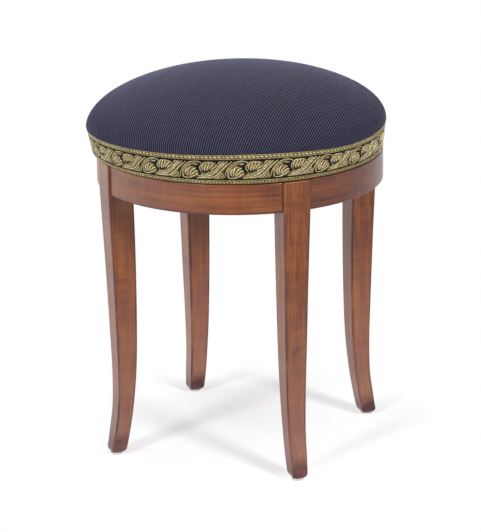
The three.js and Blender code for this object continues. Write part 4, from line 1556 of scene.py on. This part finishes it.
class STOOL_OT_stage(StoolOperator):
    """Set up the floor, the light and the camera"""

    bl_idname = "stool.stage"
    bl_label = "Stage"

    def execute(self, context):
        s = context.scene.stool_stage
        self.add_floor(s)
        self.add_world(s)
        self.add_lights(s)
        self.add_camera(context, s)
        context.scene.view_settings.view_transform = "Standard"
        return {"FINISHED"}

    def add_floor(self, s):
        half = s.floor
        mesh = bpy.data.meshes.new("floor")
        mesh.from_pydata(
            [(-half, -half, 0), (half, -half, 0), (half, half, 0), (-half, half, 0)],
            [], [(0, 1, 2, 3)])
        pale = Finish("Pale floor")
        place = pale.place()
        x, y = pale.parts(place)[:2]
        seen = self.seen_rays(pale.tree)
        cosine, sine = math.cos(s.azimuth), math.sin(s.azimuth)

        def along(x_share, y_share):
            return pale.math("ADD", pale.math("MULTIPLY", x, x_share),
                             pale.math("MULTIPLY", y, y_share))

        def faded(distance, near, far):
            return pale.smooth(distance, near * s.shadow_reach, far * s.shadow_reach)

        def away_from(point):
            return pale.node("ShaderNodeVectorMath", {0: place, 1: point},
                             operation="DISTANCE").outputs["Value"]

        leftwards, backwards = along(-cosine, -sine), along(-sine, cosine)
        rightwards = pale.math("SUBTRACT", pale.math("MULTIPLY", leftwards, -1.0), backwards)
        # painted shadow: under the stool the camera sees less white on the floor, so it is a
        # little darker
        shadowed_glow = pale.smooth(away_from(s.dim_place), 0.0, s.dim_reach,
                          s.floor_dim * s.floor_glow, s.floor_glow)
        lit = pale.node("ShaderNodeBsdfDiffuse", {0: (0.94, 0.94, 0.945)}).outputs[0]
        glow = pale.node("ShaderNodeEmission", {
            0: (1.0, 1.0, 1.0), 1: pale.math("MULTIPLY", seen, shadowed_glow)}).outputs[0]
        near = pale.node("ShaderNodeAddShader", {0: lit, 1: glow}).outputs[0]
        # far from the stool the floor is plain white, and brighter still below the light far left
        glare = pale.math(
            "MULTIPLY", pale.smooth(leftwards, *GLARE_LEFT, 0.0, s.floor_glare),
            pale.smooth(backwards, *GLARE_BACK, 1.0, GLARE_LEAST))
        far = pale.node("ShaderNodeEmission", {
            0: (1.0, 1.0, 1.0), 1: pale.math("ADD", 1.0, glare)}).outputs[0]
        plain = faded(away_from((0, 0, 0)), *FADE_AROUND)
        for distance, reach in ((leftwards, FADE_LEFT), (rightwards, FADE_RIGHT)):
            plain = pale.math("MAXIMUM", plain, faded(distance, *reach))
        both = pale.node("ShaderNodeMixShader", {
            0: pale.math("MULTIPLY", seen, plain), 1: near, 2: far}).outputs[0]
        floor = add_object("floor", mesh, pale.ends_in(both))

    def seen_rays(self, tree):
        """One for what the camera sees, also in a reflection or through glass."""
        path = tree.nodes.new("ShaderNodeLightPath")
        seen = path.outputs["Is Camera Ray"]
        for name in ("Is Glossy Ray", "Is Transmission Ray"):
            either = tree.nodes.new("ShaderNodeMath")
            either.operation = "MAXIMUM"
            tree.links.new(seen, either.inputs[0])
            tree.links.new(path.outputs[name], either.inputs[1])
            seen = either.outputs[0]
        return seen

    def add_world(self, s):
        world = bpy.data.worlds.new("Pale room")
        bpy.context.scene.world = world
        world.use_nodes = True
        tree = world.node_tree
        tree.nodes.clear()
        shown = tree.nodes.new("ShaderNodeBackground")
        shown.inputs[0].default_value = (1, 1, 1, 1)
        shown.inputs[1].default_value = 1.0
        light = tree.nodes.new("ShaderNodeBackground")
        light.inputs[0].default_value = (0.97, 0.98, 1.0, 1)
        light.inputs[1].default_value = s.sky
        both = tree.nodes.new("ShaderNodeMixShader")
        tree.links.new(self.seen_rays(tree), both.inputs[0])
        tree.links.new(light.outputs[0], both.inputs[1])
        tree.links.new(shown.outputs[0], both.inputs[2])
        result = tree.nodes.new("ShaderNodeOutputWorld")
        tree.links.new(both.outputs[0], result.inputs[0])

    def add_lights(self, s):
        white, cool = (1.0, 1.0, 1.0), (0.80, 0.91, 1.0)
        for name, swing, strength, height, width, tint in (
                ("left_light", -40, s.left_light, s.light_height, s.light_spread, white),
                ("right_light", 40, s.right_light, s.light_height, s.light_spread, white),
                ("side_light", -84, s.side_light, s.light_height / 2, 3.2 * s.light_spread, cool)):
            towards = direction(s.azimuth + math.radians(swing), height)
            light = bpy.data.lights.new(name, "SUN")
            light.energy, light.angle = strength, width
            light.color = tint
            lamp = bpy.data.objects.new(name, light)
            bpy.context.scene.collection.objects.link(lamp)
            lamp.location = 3 * towards
            lamp.rotation_mode = "QUATERNION"
            lamp.rotation_quaternion = towards.to_track_quat("Z", "Y")

    def add_camera(self, context, s):
        camera = bpy.data.cameras.new("photo_camera")
        camera.lens, camera.sensor_width = s.lens, 36.0
        camera.clip_start, camera.clip_end = 0.1, 60.0
        holder = bpy.data.objects.new("photo_camera", camera)
        context.scene.collection.objects.link(holder)
        back = direction(s.azimuth, s.elevation)
        right = Vector((math.cos(s.azimuth), math.sin(s.azimuth), 0))
        up = back.cross(right)
        c, r = math.cos(s.roll), math.sin(s.roll)
        turned_right = c * right + r * up
        turned_up = -r * right + c * up
        rotation = Matrix((turned_right, turned_up, back)).transposed()
        holder.matrix_world = Matrix.Translation(Vector(s.camera_place)) @ rotation.to_4x4()
        context.scene.camera = holder


class STOOL_PT_panel(bpy.types.Panel):
    """The stool's sizes, colours and steps"""

    bl_label = "Revolving stool"
    bl_idname = "STOOL_PT_panel"
    bl_space_type = "VIEW_3D"
    bl_region_type = "UI"
    bl_category = "Stool"

    def draw(self, context):
        scene = context.scene
        for title, settings in (
                ("Wood", scene.stool_wood), ("Seat", scene.stool_seat),
                ("Trim", scene.stool_trim), ("Stage", scene.stool_stage)):
            box = self.layout.box()
            box.label(text=title)
            for key in settings.__annotations__:
                box.prop(settings, key)
        for operator in OPERATORS:
            self.layout.operator(operator.bl_idname)


SETTINGS = {
    "stool_wood": StoolWoodSettings,
    "stool_seat": StoolSeatSettings,
    "stool_trim": StoolTrimSettings,
    "stool_stage": StoolStageSettings,
}
OPERATORS = [
    STOOL_OT_legs, STOOL_OT_apron, STOOL_OT_inside, STOOL_OT_glides, STOOL_OT_screw,
    STOOL_OT_wood_screws, STOOL_OT_padding, STOOL_OT_cover, STOOL_OT_trim, STOOL_OT_stage,
]
CLASSES = (*SETTINGS.values(), *OPERATORS, STOOL_PT_panel)


def register():
    for group in CLASSES:
        bpy.utils.register_class(group)
    for name, group in SETTINGS.items():
        setattr(bpy.types.Scene, name, PointerProperty(type=group))


def unregister():
    for name in SETTINGS:
        delattr(bpy.types.Scene, name)
    for group in reversed(CLASSES):
        bpy.utils.unregister_class(group)


def main():
    register()
    for operator in OPERATORS:
        module, action = operator.bl_idname.split(".")
        getattr(getattr(bpy.ops, module), action)()


if __name__ == "__main__":
    main()
